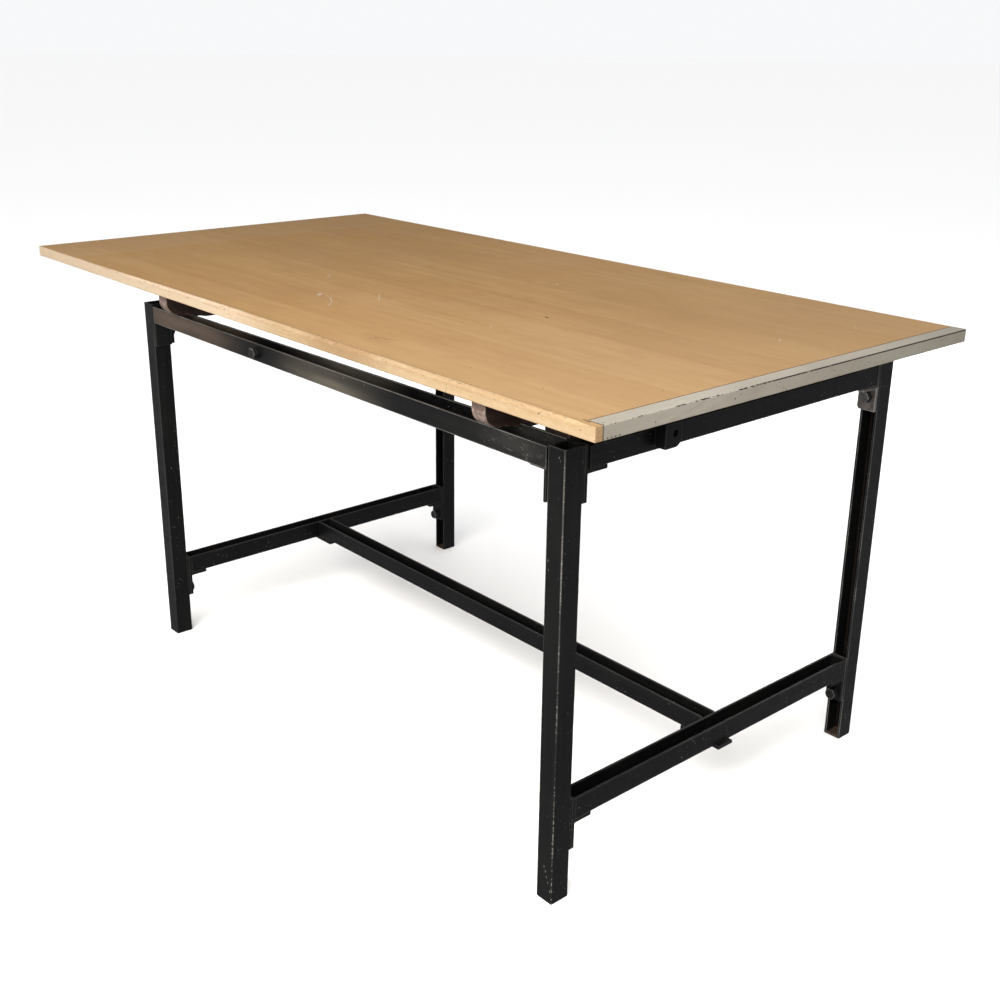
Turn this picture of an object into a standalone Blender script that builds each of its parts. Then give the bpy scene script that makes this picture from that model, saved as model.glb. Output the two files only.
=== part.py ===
"""Work table: a wooden drawing board on a bolted steel channel frame.

Metres, +Z up. The origin is on the floor under the middle of the board. +X runs along the board
towards its steel-edged end, and -Y is the side where a person sits.
"""
from math import cos, pi, sin

import bmesh
import bpy

GAP = 0.0003                  # clearance between pieces that touch

# Board
BOARD_LENGTH = 1.730
BOARD_DEPTH = 0.880
BOARD_TOP = 0.800
BOARD_THICKNESS = 0.021
LIPPING = 0.0140              # width of the solid wood edging
WORN_ARRIS = 0.007            # rounding of the top front arris where arms have rubbed it
SHARP_ARRIS = 0.001           # the same arris near both ends
WORN_FROM, WORN_TO = -0.200, 0.825
ARRIS_RUNOUT_LEFT = 0.400     # length over which the rounding dies away
ARRIS_RUNOUT_RIGHT = 0.022
STRIP_WIDTH = 0.0275          # top flange of the steel edge strip
STRIP_THICKNESS = 0.0025

# Bearers and battens under the board
BEARER_WIDTH = 0.030
BEARER_SETBACK = 0.017        # from the board's long edges to the bearers' noses
BEARER_NOSE_RADIUS = 0.022
BEARER_X = {"left": -0.321, "right": 0.6195}
BATTEN_WIDTH = 0.050
BATTEN_DROP = 0.015           # how far a batten reaches below the tops of the rails
BATTEN_CLEARANCE_X = 0.0012   # to the short rail it stands beside
BATTEN_CLEARANCE_Y = 0.003    # to each long rail

# Frame
FRAME_CENTRE_X = 0.150        # the board overhangs more on the left
FRAME_LENGTH = 1.230
FRAME_DEPTH = 0.786
LEG_WIDTH = 0.033
LEG_DEPTH = 0.035
LEG_HEIGHT = 0.734
WALL = 0.004                  # wall of every channel
LONG_RAIL_WIDTH = 0.038
RAIL_HEIGHT = 0.0332
RAIL_TOP = 0.7307
STRETCHER_HEIGHT = 0.037
LONG_STRETCHER_WIDTH = 0.035
LONG_STRETCHER_HEIGHT = 0.0335
STRETCHER_TOP = 0.1715
FOOT_PLATE = 0.004

# Plates and brackets
PAD = 0.0045                  # plates welded over the open side of a leg
PAD_WELD = 0.001              # how far their welds bite into the leg
BRACKET = 0.005
RAIL_BRACKET_ARM = 0.039
STRETCHER_BRACKET_ARM = 0.035
ARM_THICKNESS = 0.006
RAIL_BRACKET_BOTTOM = 0.649
STRETCHER_BRACKET_BOTTOM = 0.084
RAIL_END_GAP = 0.0045
STRETCHER_END_GAP = 0.0015
END_PAD = 0.0035              # packing between a leg and the end of a long rail
END_PAD_INSET = 0.003
END_PLATE = 0.0045
END_ARM_WIDTH = 0.022
END_WELD = 0.0005             # how far the welded pieces of an end bracket run together
TEE_PLATE_WIDTH = 0.036
TEE_PLATE_REACH = 0.045       # under the long stretcher
TEE_PLATE_OVERHANG = 0.007    # past the outer face of the short stretcher

# Fasteners
BOLT = 0.012
BOLT_HEAD = 0.019             # across flats
BOLT_HEAD_HEIGHT = 0.012
NUT_HEIGHT = 0.010
THREAD_PAST_NUT = 0.003
RAIL_BOLT_Z = 0.674
STRETCHER_BOLT_Z = 0.097
TEE_BOLT = 0.010
TEE_BOLT_HEAD = 0.016
TEE_BOLT_HEAD_HEIGHT = 0.0064
STOP_BOLT_X = -0.031          # bolt through the front rail
STOP_BOLT_Z = 0.713
STOP_BOLT_HEAD_HEIGHT = 0.010
BOLT_SIDES = 12
HOLE_SIDES = 16

# Pierced lug on the right rail
LUG_Y = (-0.216, -0.181)
LUG_Z = (0.703, 0.741)
LUG_DEPTH = 0.022
LUG_HOLE = 0.012
LUG_HOLE_Y = -0.1945
LUG_HOLE_Z = 0.724
LUG_CORNER = 0.014
LUG_CHAMFER = 0.005           # along the lower edge that meets the rail
LUG_HOLE_SIDES = 24

# Worked out from the sizes above
BOARD_X = BOARD_LENGTH / 2
BOARD_Y = BOARD_DEPTH / 2
BOARD_BOTTOM = BOARD_TOP - BOARD_THICKNESS
FRAME_LEFT = FRAME_CENTRE_X - FRAME_LENGTH / 2
FRAME_RIGHT = FRAME_CENTRE_X + FRAME_LENGTH / 2
FRAME_Y = FRAME_DEPTH / 2
LEG_OPEN_Y = FRAME_Y - LEG_DEPTH
PAD_Y = LEG_OPEN_Y - PAD
BRACKET_Y = PAD_Y - BRACKET
RAIL_BOTTOM = RAIL_TOP - RAIL_HEIGHT
STRETCHER_BOTTOM = STRETCHER_TOP - STRETCHER_HEIGHT
LONG_STRETCHER_BOTTOM = STRETCHER_TOP - LONG_STRETCHER_HEIGHT

# Each side has its frame's outer x and the direction in towards the middle
SIDES = (("left", FRAME_LEFT, 1), ("right", FRAME_RIGHT, -1))
ENDS = (("front", -1), ("back", 1))

# Each level has its plates' bottom and top, its member's underside, arm length and bolt height
LEVELS = (
    ("rail", RAIL_BRACKET_BOTTOM, LEG_HEIGHT, RAIL_BOTTOM, RAIL_BRACKET_ARM, RAIL_BOLT_Z),
    ("stretcher", STRETCHER_BRACKET_BOTTOM, STRETCHER_TOP, STRETCHER_BOTTOM,
     STRETCHER_BRACKET_ARM, STRETCHER_BOLT_Z),
)

STEEL = dict(colour=(0.012, 0.012, 0.012), roughness=0.42, metallic=0.25)
BARE = dict(colour=(0.30, 0.24, 0.19), roughness=0.55, metallic=0.80)
CREAM = dict(colour=(0.60, 0.56, 0.48), roughness=0.45, metallic=0.10)
VENEER = dict(colour=(0.56, 0.37, 0.19), roughness=0.50, metallic=0.0)
EDGING = dict(colour=(0.78, 0.55, 0.32), roughness=0.55, metallic=0.0)
DARK_WOOD = dict(colour=(0.13, 0.065, 0.048), roughness=0.60, metallic=0.0)
ZINC = dict(colour=(0.45, 0.44, 0.42), roughness=0.40, metallic=0.85)


def clear_scene():
    for obj in list(bpy.data.objects):
        bpy.data.objects.remove(obj, do_unlink=True)


def make_material(name, look):
    mat = bpy.data.materials.new(name)
    mat.use_nodes = True
    shader = mat.node_tree.nodes["Principled BSDF"]
    shader.inputs["Base Color"].default_value = (*look["colour"], 1.0)
    shader.inputs["Roughness"].default_value = look["roughness"]
    shader.inputs["Metallic"].default_value = look["metallic"]
    return mat


# ---------------------------------------------------------------- outlines and solids

def place(axis, u, v, w):
    """A point from its place in a cross-section (u, v) and its place w along the axis."""
    if axis == "X":
        return (w, u, v)
    if axis == "Y":
        return (u, w, v)
    return (u, v, w)


def loft(bm, axis, sections):
    """Join outlines with equal counts of points into one closed body."""
    loops = []
    for outline, w in sections:
        loops.append([bm.verts.new(place(axis, u, v, w)) for u, v in outline])
    faces = [bm.faces.new(loops[0]), bm.faces.new(list(reversed(loops[-1])))]
    count = len(loops[0])
    for low, high in zip(loops, loops[1:]):
        for i in range(count):
            j = (i + 1) % count
            faces.append(bm.faces.new((low[j], low[i], high[i], high[j])))
    bmesh.ops.recalc_face_normals(bm, faces=faces)


def prism(bm, axis, outline, start, end):
    loft(bm, axis, [(outline, start), (outline, end)])


def box(bm, x, y, z):
    (x0, x1), (y0, y1) = sorted(x), sorted(y)
    prism(bm, "Z", [(x0, y0), (x1, y0), (x1, y1), (x0, y1)], *sorted(z))


def circle(u, v, radius, count):
    angles = [2 * pi * i / count for i in range(count)]
    return [(u + radius * cos(a), v + radius * sin(a)) for a in angles]


def hexagon(u, v, flats):
    """A hexagon with points at its corners and at the middles of its flats."""
    points = []
    for i in range(BOLT_SIDES):
        a = 2 * pi * i / BOLT_SIDES
        radius = flats / 2 if i % 2 else flats / 2 / cos(pi / 6)
        points.append((u + radius * cos(a), v + radius * sin(a)))
    return points


def arc(u, v, radius, first, last, steps=6):
    """Points on an arc, with its angles in quarter turns."""
    angles = [(first + (last - first) * i / steps) * pi / 2 for i in range(steps + 1)]
    return [(u + radius * cos(a), v + radius * sin(a)) for a in angles]


def channel(u0, u1, v_web, v_open):
    """Outline of a channel, with its web at v_web and its open side at v_open."""
    inside = v_web + WALL if v_open > v_web else v_web - WALL
    return [(u0, v_open), (u0, v_web), (u1, v_web), (u1, v_open),
            (u1 - WALL, v_open), (u1 - WALL, inside), (u0 + WALL, inside), (u0 + WALL, v_open)]


def finish(name, bm, look, smooth=False):
    mesh = bpy.data.meshes.new(name)
    bm.to_mesh(mesh)
    bm.free()
    obj = bpy.data.objects.new(name, mesh)
    bpy.context.collection.objects.link(obj)
    mesh.materials.append(make_material(name, look))
    if smooth:
        mesh.shade_smooth()
        mesh.set_sharp_from_angle(angle=pi / 5)
    return obj


def combine(obj, operation, bm):
    """Cut a hidden shape out of an object, or join it on."""
    tool = finish(f"{obj.name}_{operation.lower()}", bm, BARE)
    tool.hide_render = True
    tool.display_type = "WIRE"
    modifier = obj.modifiers.new(operation.lower(), "BOOLEAN")
    modifier.operation = operation
    modifier.solver = "EXACT"
    modifier.object = tool


def cut_hole(obj, axis, u, v, radius, start, end, sides=HOLE_SIDES):
    bm = bmesh.new()
    prism(bm, axis, circle(u, v, radius, sides), *sorted((start, end)))
    combine(obj, "DIFFERENCE", bm)


# ---------------------------------------------------------------- board

def make_board():
    y_in = BOARD_Y - LIPPING
    x_left = -BOARD_X + LIPPING
    x_face = BOARD_X - STRIP_THICKNESS
    x_step = BOARD_X - STRIP_WIDTH
    z_step = BOARD_TOP - STRIP_THICKNESS

    def rebated(x_end):
        """Section of the board along its length, with a rebate for the edge strip."""
        return [(x_end, BOARD_BOTTOM), (x_face - GAP, BOARD_BOTTOM), (x_face - GAP, z_step - GAP),
                (x_step - GAP, z_step - GAP), (x_step - GAP, BOARD_TOP), (x_end, BOARD_TOP)]

    bm = bmesh.new()
    prism(bm, "Y", rebated(x_left), -y_in, y_in)
    finish("board_panel", bm, VENEER)

    def rounded_front(radius):
        """Section of the front edging, with its top front arris rounded."""
        back = -y_in - GAP
        return [(-BOARD_Y, BOARD_BOTTOM), (back, BOARD_BOTTOM), (back, BOARD_TOP),
                *arc(-BOARD_Y + radius, BOARD_TOP - radius, radius, 1, 2)]

    bm = bmesh.new()
    sections = [(rounded_front(radius), x) for radius, x in (
        (SHARP_ARRIS, -BOARD_X), (SHARP_ARRIS, WORN_FROM - ARRIS_RUNOUT_LEFT),
        (WORN_ARRIS, WORN_FROM), (WORN_ARRIS, WORN_TO),
        (SHARP_ARRIS, WORN_TO + ARRIS_RUNOUT_RIGHT), (SHARP_ARRIS, BOARD_X))]
    loft(bm, "X", sections)
    finish("lipping_front", bm, EDGING)

    bm = bmesh.new()
    prism(bm, "Y", rebated(-BOARD_X), y_in + GAP, BOARD_Y)
    finish("lipping_back", bm, EDGING)

    bm = bmesh.new()
    box(bm, (-BOARD_X, x_left - GAP), (-y_in, y_in), (BOARD_BOTTOM, BOARD_TOP))
    finish("lipping_left", bm, EDGING)

    angle = [(x_step, z_step), (x_face, z_step), (x_face, BOARD_BOTTOM),
             (BOARD_X, BOARD_BOTTOM), (BOARD_X, BOARD_TOP), (x_step, BOARD_TOP)]
    bm = bmesh.new()
    prism(bm, "Y", angle, -y_in, BOARD_Y)
    finish("edge_strip", bm, CREAM)


def make_bearers():
    """Dark bearers that lie across both long rails and carry the board."""
    reach = BOARD_Y - BEARER_SETBACK
    bottom = RAIL_TOP + GAP
    top = BOARD_BOTTOM - GAP
    r = BEARER_NOSE_RADIUS
    outline = [(reach, top), (-reach, top)]
    outline += arc(-reach + r, bottom + r, r, 2, 3)
    outline += arc(reach - r, bottom + r, r, 3, 4)
    for side, x in BEARER_X.items():
        bm = bmesh.new()
        prism(bm, "X", outline, x - BEARER_WIDTH / 2, x + BEARER_WIDTH / 2)
        finish(f"bearer_{side}", bm, DARK_WOOD)


def make_battens():
    """Battens under the board that drop inside the frame and keep the board in place."""
    reach = FRAME_Y - LONG_RAIL_WIDTH - BATTEN_CLEARANCE_Y
    for side, x_outer, inward in SIDES:
        x = x_outer + inward * (LEG_WIDTH + BATTEN_CLEARANCE_X)
        bm = bmesh.new()
        z = (RAIL_TOP - BATTEN_DROP, BOARD_BOTTOM - GAP)
        box(bm, (x, x + inward * BATTEN_WIDTH), (-reach, reach), z)
        finish(f"batten_{side}", bm, DARK_WOOD)


# ---------------------------------------------------------------- frame

def leg_span(x_outer, inward):
    return sorted((x_outer, x_outer + inward * LEG_WIDTH))


def bolt_x(x_outer, inward):
    return x_outer + inward * LEG_WIDTH / 2


def make_legs():
    """Channels that stand with their open sides inwards, each closed by a pad at both levels."""
    for end, back in ENDS:
        for side, x_outer, inward in SIDES:
            x0, x1 = leg_span(x_outer, inward)
            bm = bmesh.new()
            outline = channel(x0, x1, back * FRAME_Y, back * LEG_OPEN_Y)
            prism(bm, "Z", outline, 0.0, LEG_HEIGHT)
            leg = finish(f"leg_{end}_{side}", bm, STEEL)
            bm = bmesh.new()
            y = (back * PAD_Y, back * (LEG_OPEN_Y + PAD_WELD))
            for _, low, high, _, _, _ in LEVELS:
                box(bm, (x0, x1), y, (low, high))
            combine(leg, "UNION", bm)
            bm = bmesh.new()
            y = sorted((back * (PAD_Y - GAP), back * (LEG_OPEN_Y + 2 * PAD_WELD)))
            for *_, z in LEVELS:
                hole = circle(bolt_x(x_outer, inward), z, BOLT / 2 + GAP, HOLE_SIDES)
                prism(bm, "Y", hole, *y)
            combine(leg, "DIFFERENCE", bm)

            x = (x0 + WALL + GAP, x1 - WALL - GAP)
            y = (back * (FRAME_Y - WALL - GAP), back * LEG_OPEN_Y)
            bm = bmesh.new()
            box(bm, x, y, (0.0, FOOT_PLATE))
            finish(f"foot_plate_{end}_{side}", bm, BARE)


def make_brackets():
    """Angle brackets that carry the ends of the short rails and short stretchers."""
    for level, low, high, seat, arm, bolt_z in LEVELS:
        for end, back in ENDS:
            y_pad = back * (PAD_Y - GAP)
            y_face = back * BRACKET_Y
            y_tip = back * (BRACKET_Y - arm)
            z_arm = (seat - GAP - ARM_THICKNESS, seat - GAP)
            outline = [(y_pad, low), (y_face, low), (y_face, z_arm[0]), (y_tip, z_arm[0]),
                       (y_tip, z_arm[1]), (y_face, z_arm[1]), (y_face, high), (y_pad, high)]
            for side, x_outer, inward in SIDES:
                bm = bmesh.new()
                prism(bm, "X", outline, *leg_span(x_outer, inward))
                bracket = finish(f"{level}_bracket_{end}_{side}", bm, STEEL)
                cut_hole(bracket, "Y", bolt_x(x_outer, inward), bolt_z, BOLT / 2 + GAP,
                         y_pad + back * GAP, y_face - back * GAP)


def make_end_brackets():
    """Each long rail stands on these: packing on the leg, an upright plate and a seat arm."""
    seat = RAIL_BOTTOM - GAP
    for end, back in ENDS:
        y_pad = (back * (LEG_OPEN_Y + END_PAD_INSET), back * (FRAME_Y - END_PAD_INSET))
        y_plate = (back * LEG_OPEN_Y, back * FRAME_Y)
        y_arm = (y_pad[0], y_pad[0] + back * END_ARM_WIDTH)
        for side, x_outer, inward in SIDES:
            x_leg = x_outer + inward * (LEG_WIDTH + GAP)
            x_pad = x_outer + inward * (LEG_WIDTH + END_PAD)
            x_plate = x_pad + inward * END_PLATE
            x_tip = x_plate + inward * RAIL_BRACKET_ARM
            bm = bmesh.new()
            box(bm, (x_leg, x_pad), y_pad, (RAIL_BRACKET_BOTTOM, RAIL_TOP))
            bracket = finish(f"end_bracket_{end}_{side}", bm, STEEL)
            bm = bmesh.new()
            box(bm, (x_pad - inward * END_WELD, x_plate), y_plate, (RAIL_BRACKET_BOTTOM, seat))
            combine(bracket, "UNION", bm)
            bm = bmesh.new()
            box(bm, (x_plate - inward * END_WELD, x_tip), y_arm, (seat - ARM_THICKNESS, seat))
            combine(bracket, "UNION", bm)


def make_rails():
    x_end = LEG_WIDTH + END_PAD + GAP
    for end, back in ENDS:
        y = sorted((back * FRAME_Y, back * (FRAME_Y - LONG_RAIL_WIDTH)))
        bm = bmesh.new()
        prism(bm, "X", channel(*y, RAIL_BOTTOM, RAIL_TOP), FRAME_LEFT + x_end, FRAME_RIGHT - x_end)
        rail = finish(f"rail_{end}", bm, STEEL)
        if end == "front":
            cut_hole(rail, "Y", STOP_BOLT_X, STOP_BOLT_Z, BOLT / 2 + GAP,
                     -FRAME_Y - GAP, -FRAME_Y + WALL + GAP)
    reach = BRACKET_Y - RAIL_END_GAP
    for side, x_outer, inward in SIDES:
        outline = channel(*leg_span(x_outer, inward), RAIL_BOTTOM, RAIL_TOP)
        bm = bmesh.new()
        prism(bm, "Y", outline, -reach, reach)
        finish(f"rail_{side}", bm, STEEL)


def make_stretchers():
    reach = BRACKET_Y - STRETCHER_END_GAP
    for side, x_outer, inward in SIDES:
        outline = channel(*leg_span(x_outer, inward), STRETCHER_BOTTOM, STRETCHER_TOP)
        bm = bmesh.new()
        prism(bm, "Y", outline, -reach, reach)
        short = finish(f"stretcher_{side}", bm, STEEL)
        cut_hole(short, "Z", bolt_x(x_outer, inward), 0.0, TEE_BOLT / 2 + GAP,
                 STRETCHER_BOTTOM - GAP, STRETCHER_BOTTOM + WALL + GAP)
    half = LONG_STRETCHER_WIDTH / 2
    x_end = LEG_WIDTH + STRETCHER_END_GAP
    bm = bmesh.new()
    outline = channel(-half, half, LONG_STRETCHER_BOTTOM, STRETCHER_TOP)
    prism(bm, "X", outline, FRAME_LEFT + x_end, FRAME_RIGHT - x_end)
    finish("stretcher_long", bm, STEEL)


def make_tee_plates():
    """Stepped plates welded under the long stretcher and tapped for the tee bolts."""
    half = TEE_PLATE_WIDTH / 2
    low = STRETCHER_BOTTOM - GAP - ARM_THICKNESS
    step = STRETCHER_BOTTOM - GAP
    high = LONG_STRETCHER_BOTTOM - GAP
    for side, x_outer, inward in SIDES:
        x_out = x_outer - inward * TEE_PLATE_OVERHANG
        x_step = x_outer + inward * (LEG_WIDTH + GAP)
        x_in = x_outer + inward * (LEG_WIDTH + TEE_PLATE_REACH)
        outline = [(x_out, low), (x_in, low), (x_in, high),
                   (x_step, high), (x_step, step), (x_out, step)]
        bm = bmesh.new()
        prism(bm, "Y", outline, -half, half)
        plate = finish(f"tee_plate_{side}", bm, STEEL)
        cut_hole(plate, "Z", bolt_x(x_outer, inward), 0.0, TEE_BOLT / 2 + GAP, low - GAP, step + GAP)


def make_lug():
    """A pierced lug on the outer face of the right rail, with one big round lower corner."""
    (y0, y1), (z0, z1) = LUG_Y, LUG_Z

    def outline(bottom):
        centre = (y1 - LUG_CORNER, bottom + LUG_CORNER)
        return [(y1, z1), (y0, z1), (y0, bottom)] + arc(*centre, LUG_CORNER, 3, 4)

    start = FRAME_RIGHT + GAP
    end = FRAME_RIGHT + LUG_DEPTH
    bm = bmesh.new()
    loft(bm, "X", [(outline(z0 + LUG_CHAMFER), start), (outline(z0), start + LUG_CHAMFER),
                   (outline(z0), end)])
    lug = finish("rail_lug", bm, STEEL)
    cut_hole(lug, "X", LUG_HOLE_Y, LUG_HOLE_Z, LUG_HOLE / 2, start - GAP, end + GAP,
             LUG_HOLE_SIDES)


# ---------------------------------------------------------------- fasteners

def make_bolt(name, axis, u, v, size, flats, head_height, seat, tip):
    """A hexagon-headed bolt with the underside of its head at 'seat' and its end at 'tip'."""
    away = 1 if seat > tip else -1
    head = hexagon(u, v, flats)
    shank = circle(u, v, size / 2, BOLT_SIDES)
    bm = bmesh.new()
    sections = [(head, seat + away * head_height), (head, seat), (shank, seat), (shank, tip)]
    loft(bm, axis, sections)
    finish(name, bm, STEEL, smooth=True)


def make_nut(name, axis, u, v, size, flats, start, end):
    bm = bmesh.new()
    prism(bm, axis, hexagon(u, v, flats), *sorted((start, end)))
    nut = finish(name, bm, ZINC, smooth=True)
    cut_hole(nut, axis, u, v, size / 2 + GAP, min(start, end) - GAP, max(start, end) + GAP)


def make_fasteners():
    for level, *_, z in LEVELS:
        for end, back in ENDS:
            seat = back * (BRACKET_Y - GAP)
            inner = LEG_OPEN_Y + PAD_WELD + GAP
            tip = back * (inner + NUT_HEIGHT + THREAD_PAST_NUT)
            for side, x_outer, inward in SIDES:
                x = bolt_x(x_outer, inward)
                make_bolt(f"{level}_bolt_{end}_{side}", "Y", x, z, BOLT, BOLT_HEAD,
                          BOLT_HEAD_HEIGHT, seat, tip)
                make_nut(f"{level}_nut_{end}_{side}", "Y", x, z, BOLT, BOLT_HEAD,
                         back * inner, back * (inner + NUT_HEIGHT))
    for side, x_outer, inward in SIDES:
        make_bolt(f"tee_bolt_{side}", "Z", bolt_x(x_outer, inward), 0.0, TEE_BOLT, TEE_BOLT_HEAD,
                  TEE_BOLT_HEAD_HEIGHT, STRETCHER_BOTTOM + WALL + GAP,
                  STRETCHER_BOTTOM - GAP - ARM_THICKNESS)
    inner = -FRAME_Y + WALL + GAP
    make_bolt("stop_bolt", "Y", STOP_BOLT_X, STOP_BOLT_Z, BOLT, BOLT_HEAD,
              STOP_BOLT_HEAD_HEIGHT, -FRAME_Y - GAP, inner + NUT_HEIGHT + THREAD_PAST_NUT)
    make_nut("stop_bolt_nut", "Y", STOP_BOLT_X, STOP_BOLT_Z, BOLT, BOLT_HEAD,
             inner, inner + NUT_HEIGHT)


def main():
    clear_scene()
    make_board()
    make_bearers()
    make_battens()
    make_legs()
    make_brackets()
    make_end_brackets()
    make_rails()
    make_stretchers()
    make_tee_plates()
    make_lug()
    make_fasteners()


main()
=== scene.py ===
"""Looks of the work table: a wooden drawing board on a bolted frame of black steel channel.

Metres, +Z up, in the frame of the CAD model. Every piece takes its place from the box of the CAD
node that it stands for. +X runs along the board towards its steel edge, and -Y is the front.
"""

import random
from functools import reduce
from math import ceil, cos, pi, radians, sin, tan
from operator import or_

import bmesh
import bpy
from mathutils import Matrix, Vector


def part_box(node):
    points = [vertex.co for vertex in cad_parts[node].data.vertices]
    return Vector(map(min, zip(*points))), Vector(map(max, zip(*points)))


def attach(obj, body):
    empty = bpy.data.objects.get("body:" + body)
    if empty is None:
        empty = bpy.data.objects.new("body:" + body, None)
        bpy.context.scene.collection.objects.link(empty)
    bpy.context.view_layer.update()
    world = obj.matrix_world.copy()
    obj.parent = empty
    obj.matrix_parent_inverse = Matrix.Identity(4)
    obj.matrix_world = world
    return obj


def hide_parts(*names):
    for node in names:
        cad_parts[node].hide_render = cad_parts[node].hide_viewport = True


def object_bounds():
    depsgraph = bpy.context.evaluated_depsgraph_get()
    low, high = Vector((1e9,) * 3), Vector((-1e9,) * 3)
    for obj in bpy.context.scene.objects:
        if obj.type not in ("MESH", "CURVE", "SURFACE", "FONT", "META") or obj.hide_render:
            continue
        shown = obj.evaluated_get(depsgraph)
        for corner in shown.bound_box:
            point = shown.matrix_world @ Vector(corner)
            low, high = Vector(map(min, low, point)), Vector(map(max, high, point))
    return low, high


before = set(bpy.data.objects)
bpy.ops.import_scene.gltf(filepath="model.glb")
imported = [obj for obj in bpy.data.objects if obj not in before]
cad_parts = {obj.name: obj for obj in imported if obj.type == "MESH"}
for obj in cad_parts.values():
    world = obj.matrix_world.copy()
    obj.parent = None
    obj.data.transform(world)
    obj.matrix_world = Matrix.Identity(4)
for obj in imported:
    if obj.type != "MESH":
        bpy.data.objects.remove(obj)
CAD_BOX = [list(corner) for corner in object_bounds()]

# Sizes that the boxes of the CAD nodes don't give
GAP = 0.0003                  # clearance between pieces that touch
WALL = 0.004
STRIP = 0.0025
STRIP_END_RADIUS = 0.0022     # the strip's outer end at the back is knocked round,
STRIP_CORNER_RADIUS = 0.0060  # and its lower corner there is filed off
PAD_WELD = 0.001
LEG_DEPTH = 0.035
BRACKET = 0.005
ARM = 0.006
END_PAD = 0.0035
END_PLATE = 0.0045
END_ARM_WIDTH = 0.022
END_PAD_INSET = 0.003
BOLT = (0.012, 0.019, 0.012, 0.00175)       # diameter, head across flats, its height, pitch
STOP_BOLT = (0.012, 0.019, 0.010, 0.00175)
TEE_BOLT = (0.010, 0.016, 0.0064, 0.0015)
HEX_SIDES = 48
SCREW_RADIUS = 0.0042
BARE_BRACKET = ("rail", "back", "right")
NOSE_RADIUS = 0.028
NOSE_LIFT = 0.0040            # the noses stand clear of the rails' outer edges
BEARER_DROP = 0.006           # the bearers are notched this far over the rails
FLANGE_LEAN = 0.003           # how far the front rail's inner flange is out of true
FLANGE_RISE = 0.004
LUG_CORNER = 0.014
LUG_CHAMFER = 0.005
LUG_HOLE = (-0.1945, 0.724)   # y and z of its centre
LUG_HOLE_RADIUS = 0.006

# Edges
EDGE = 0.0005                 # rounding of a cut end
FADE = 0.0022                 # how far the wear of an edge reaches over a flat
CAP_FADE = 0.0007             # and how far it reaches over an end face
BEND = 0.0011                 # outside corner of a channel
FILLET = 0.0022               # inside corner of a channel
TIP = 0.0006                  # edge of a flange
TIGHT = 0.0001                # edge that lies against another piece

# The board's front face, the edge strip's outer face, the drawing surface and the front legs
(_, FRONT, _), (SIDE, _, TOP) = CAD_BOX
LEG_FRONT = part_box("leg_front_right")[0].y

AXES = {"X": 0, "Y": 1, "Z": 2}
SIDES = (("left", 1), ("right", -1))
CORNERS = [(end, back, side, inward) for end, back in (("front", -1), ("back", 1))
           for side, inward in SIDES]
LEVELS = ("rail", "stretcher")

rng = random.Random(7)


# ---------------------------------------------------------------- shapes

def place(axis, u, v, w):
    """A point from its place in a cross-section (u, v) and its place w along the axis."""
    return Vector({"X": (w, u, v), "Y": (u, w, v), "Z": (u, v, w)}[axis])


def turns(sides):
    return [2 * pi * i / sides for i in range(sides)]


def outline(corners, inset=0, fade=FADE):
    """Points of an outline with rounded corners, each with its share of wear and of grime.

    A corner is (u, v, radius), with the steps of its arc after them where these are fixed. Two
    points on each flat end the wear of its corners.
    """
    area = sum(a[0] * b[1] - a[1] * b[0] for a, b in zip(corners, corners[1:] + corners[:1]))
    way = 1 if area > 0 else -1
    arcs = []
    for i, (u, v, radius, *fixed) in enumerate(corners):
        here = Vector((u, v))
        first = (here - Vector(corners[i - 1][:2])).normalized()
        second = (Vector(corners[(i + 1) % len(corners)][:2]) - here).normalized()
        in_first, in_second = [way * Vector((-run.y, run.x)) for run in (first, second)]
        here = here + inset * (in_first + in_second) / (1 + in_first.dot(in_second))
        side = 1 if way * (first.x * second.y - first.y * second.x) > 0 else -1
        bend = first.angle(second)
        steps = 3 if radius < 0.0016 else min(12, ceil(radius * bend / 0.0006))
        if fixed:
            steps = fixed[0]
        radius = max(radius - side * inset, 0.00001)
        centre = here - first * radius * tan(bend / 2) + side * in_first * radius
        spokes = [Matrix.Rotation(side * way * bend * k / steps, 2) @ in_first
                  for k in range(steps + 1)]
        arcs.append(([centre - side * radius * spoke for spoke in spokes], side))
    points = []
    for i, (arc, side) in enumerate(arcs):
        points += [(p, max(side, 0), max(-side, 0)) for p in arc]
        start, end = arc[-1], arcs[(i + 1) % len(arcs)][0][0]
        flat = end - start
        reach = min(fade / max(flat.length, 0.00001), 0.35)
        points += [(start + flat * reach, 0, 0), (end - flat * reach, 0, 0)]
    return points


def end_stations(w, way, section, edge, cap_fade, reach, wear=1):
    """Stations that round one end of a bar. way is 1 at its start and -1 at its end."""
    near = ((0, edge + cap_fade, 0), (0, edge, wear), (0.3 * edge, 0.3 * edge, wear),
            (edge, 0, wear), (edge + reach, 0, 0))
    return [(w + way * off, section(w), inset, worn) for off, inset, worn in near][::way]


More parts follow.
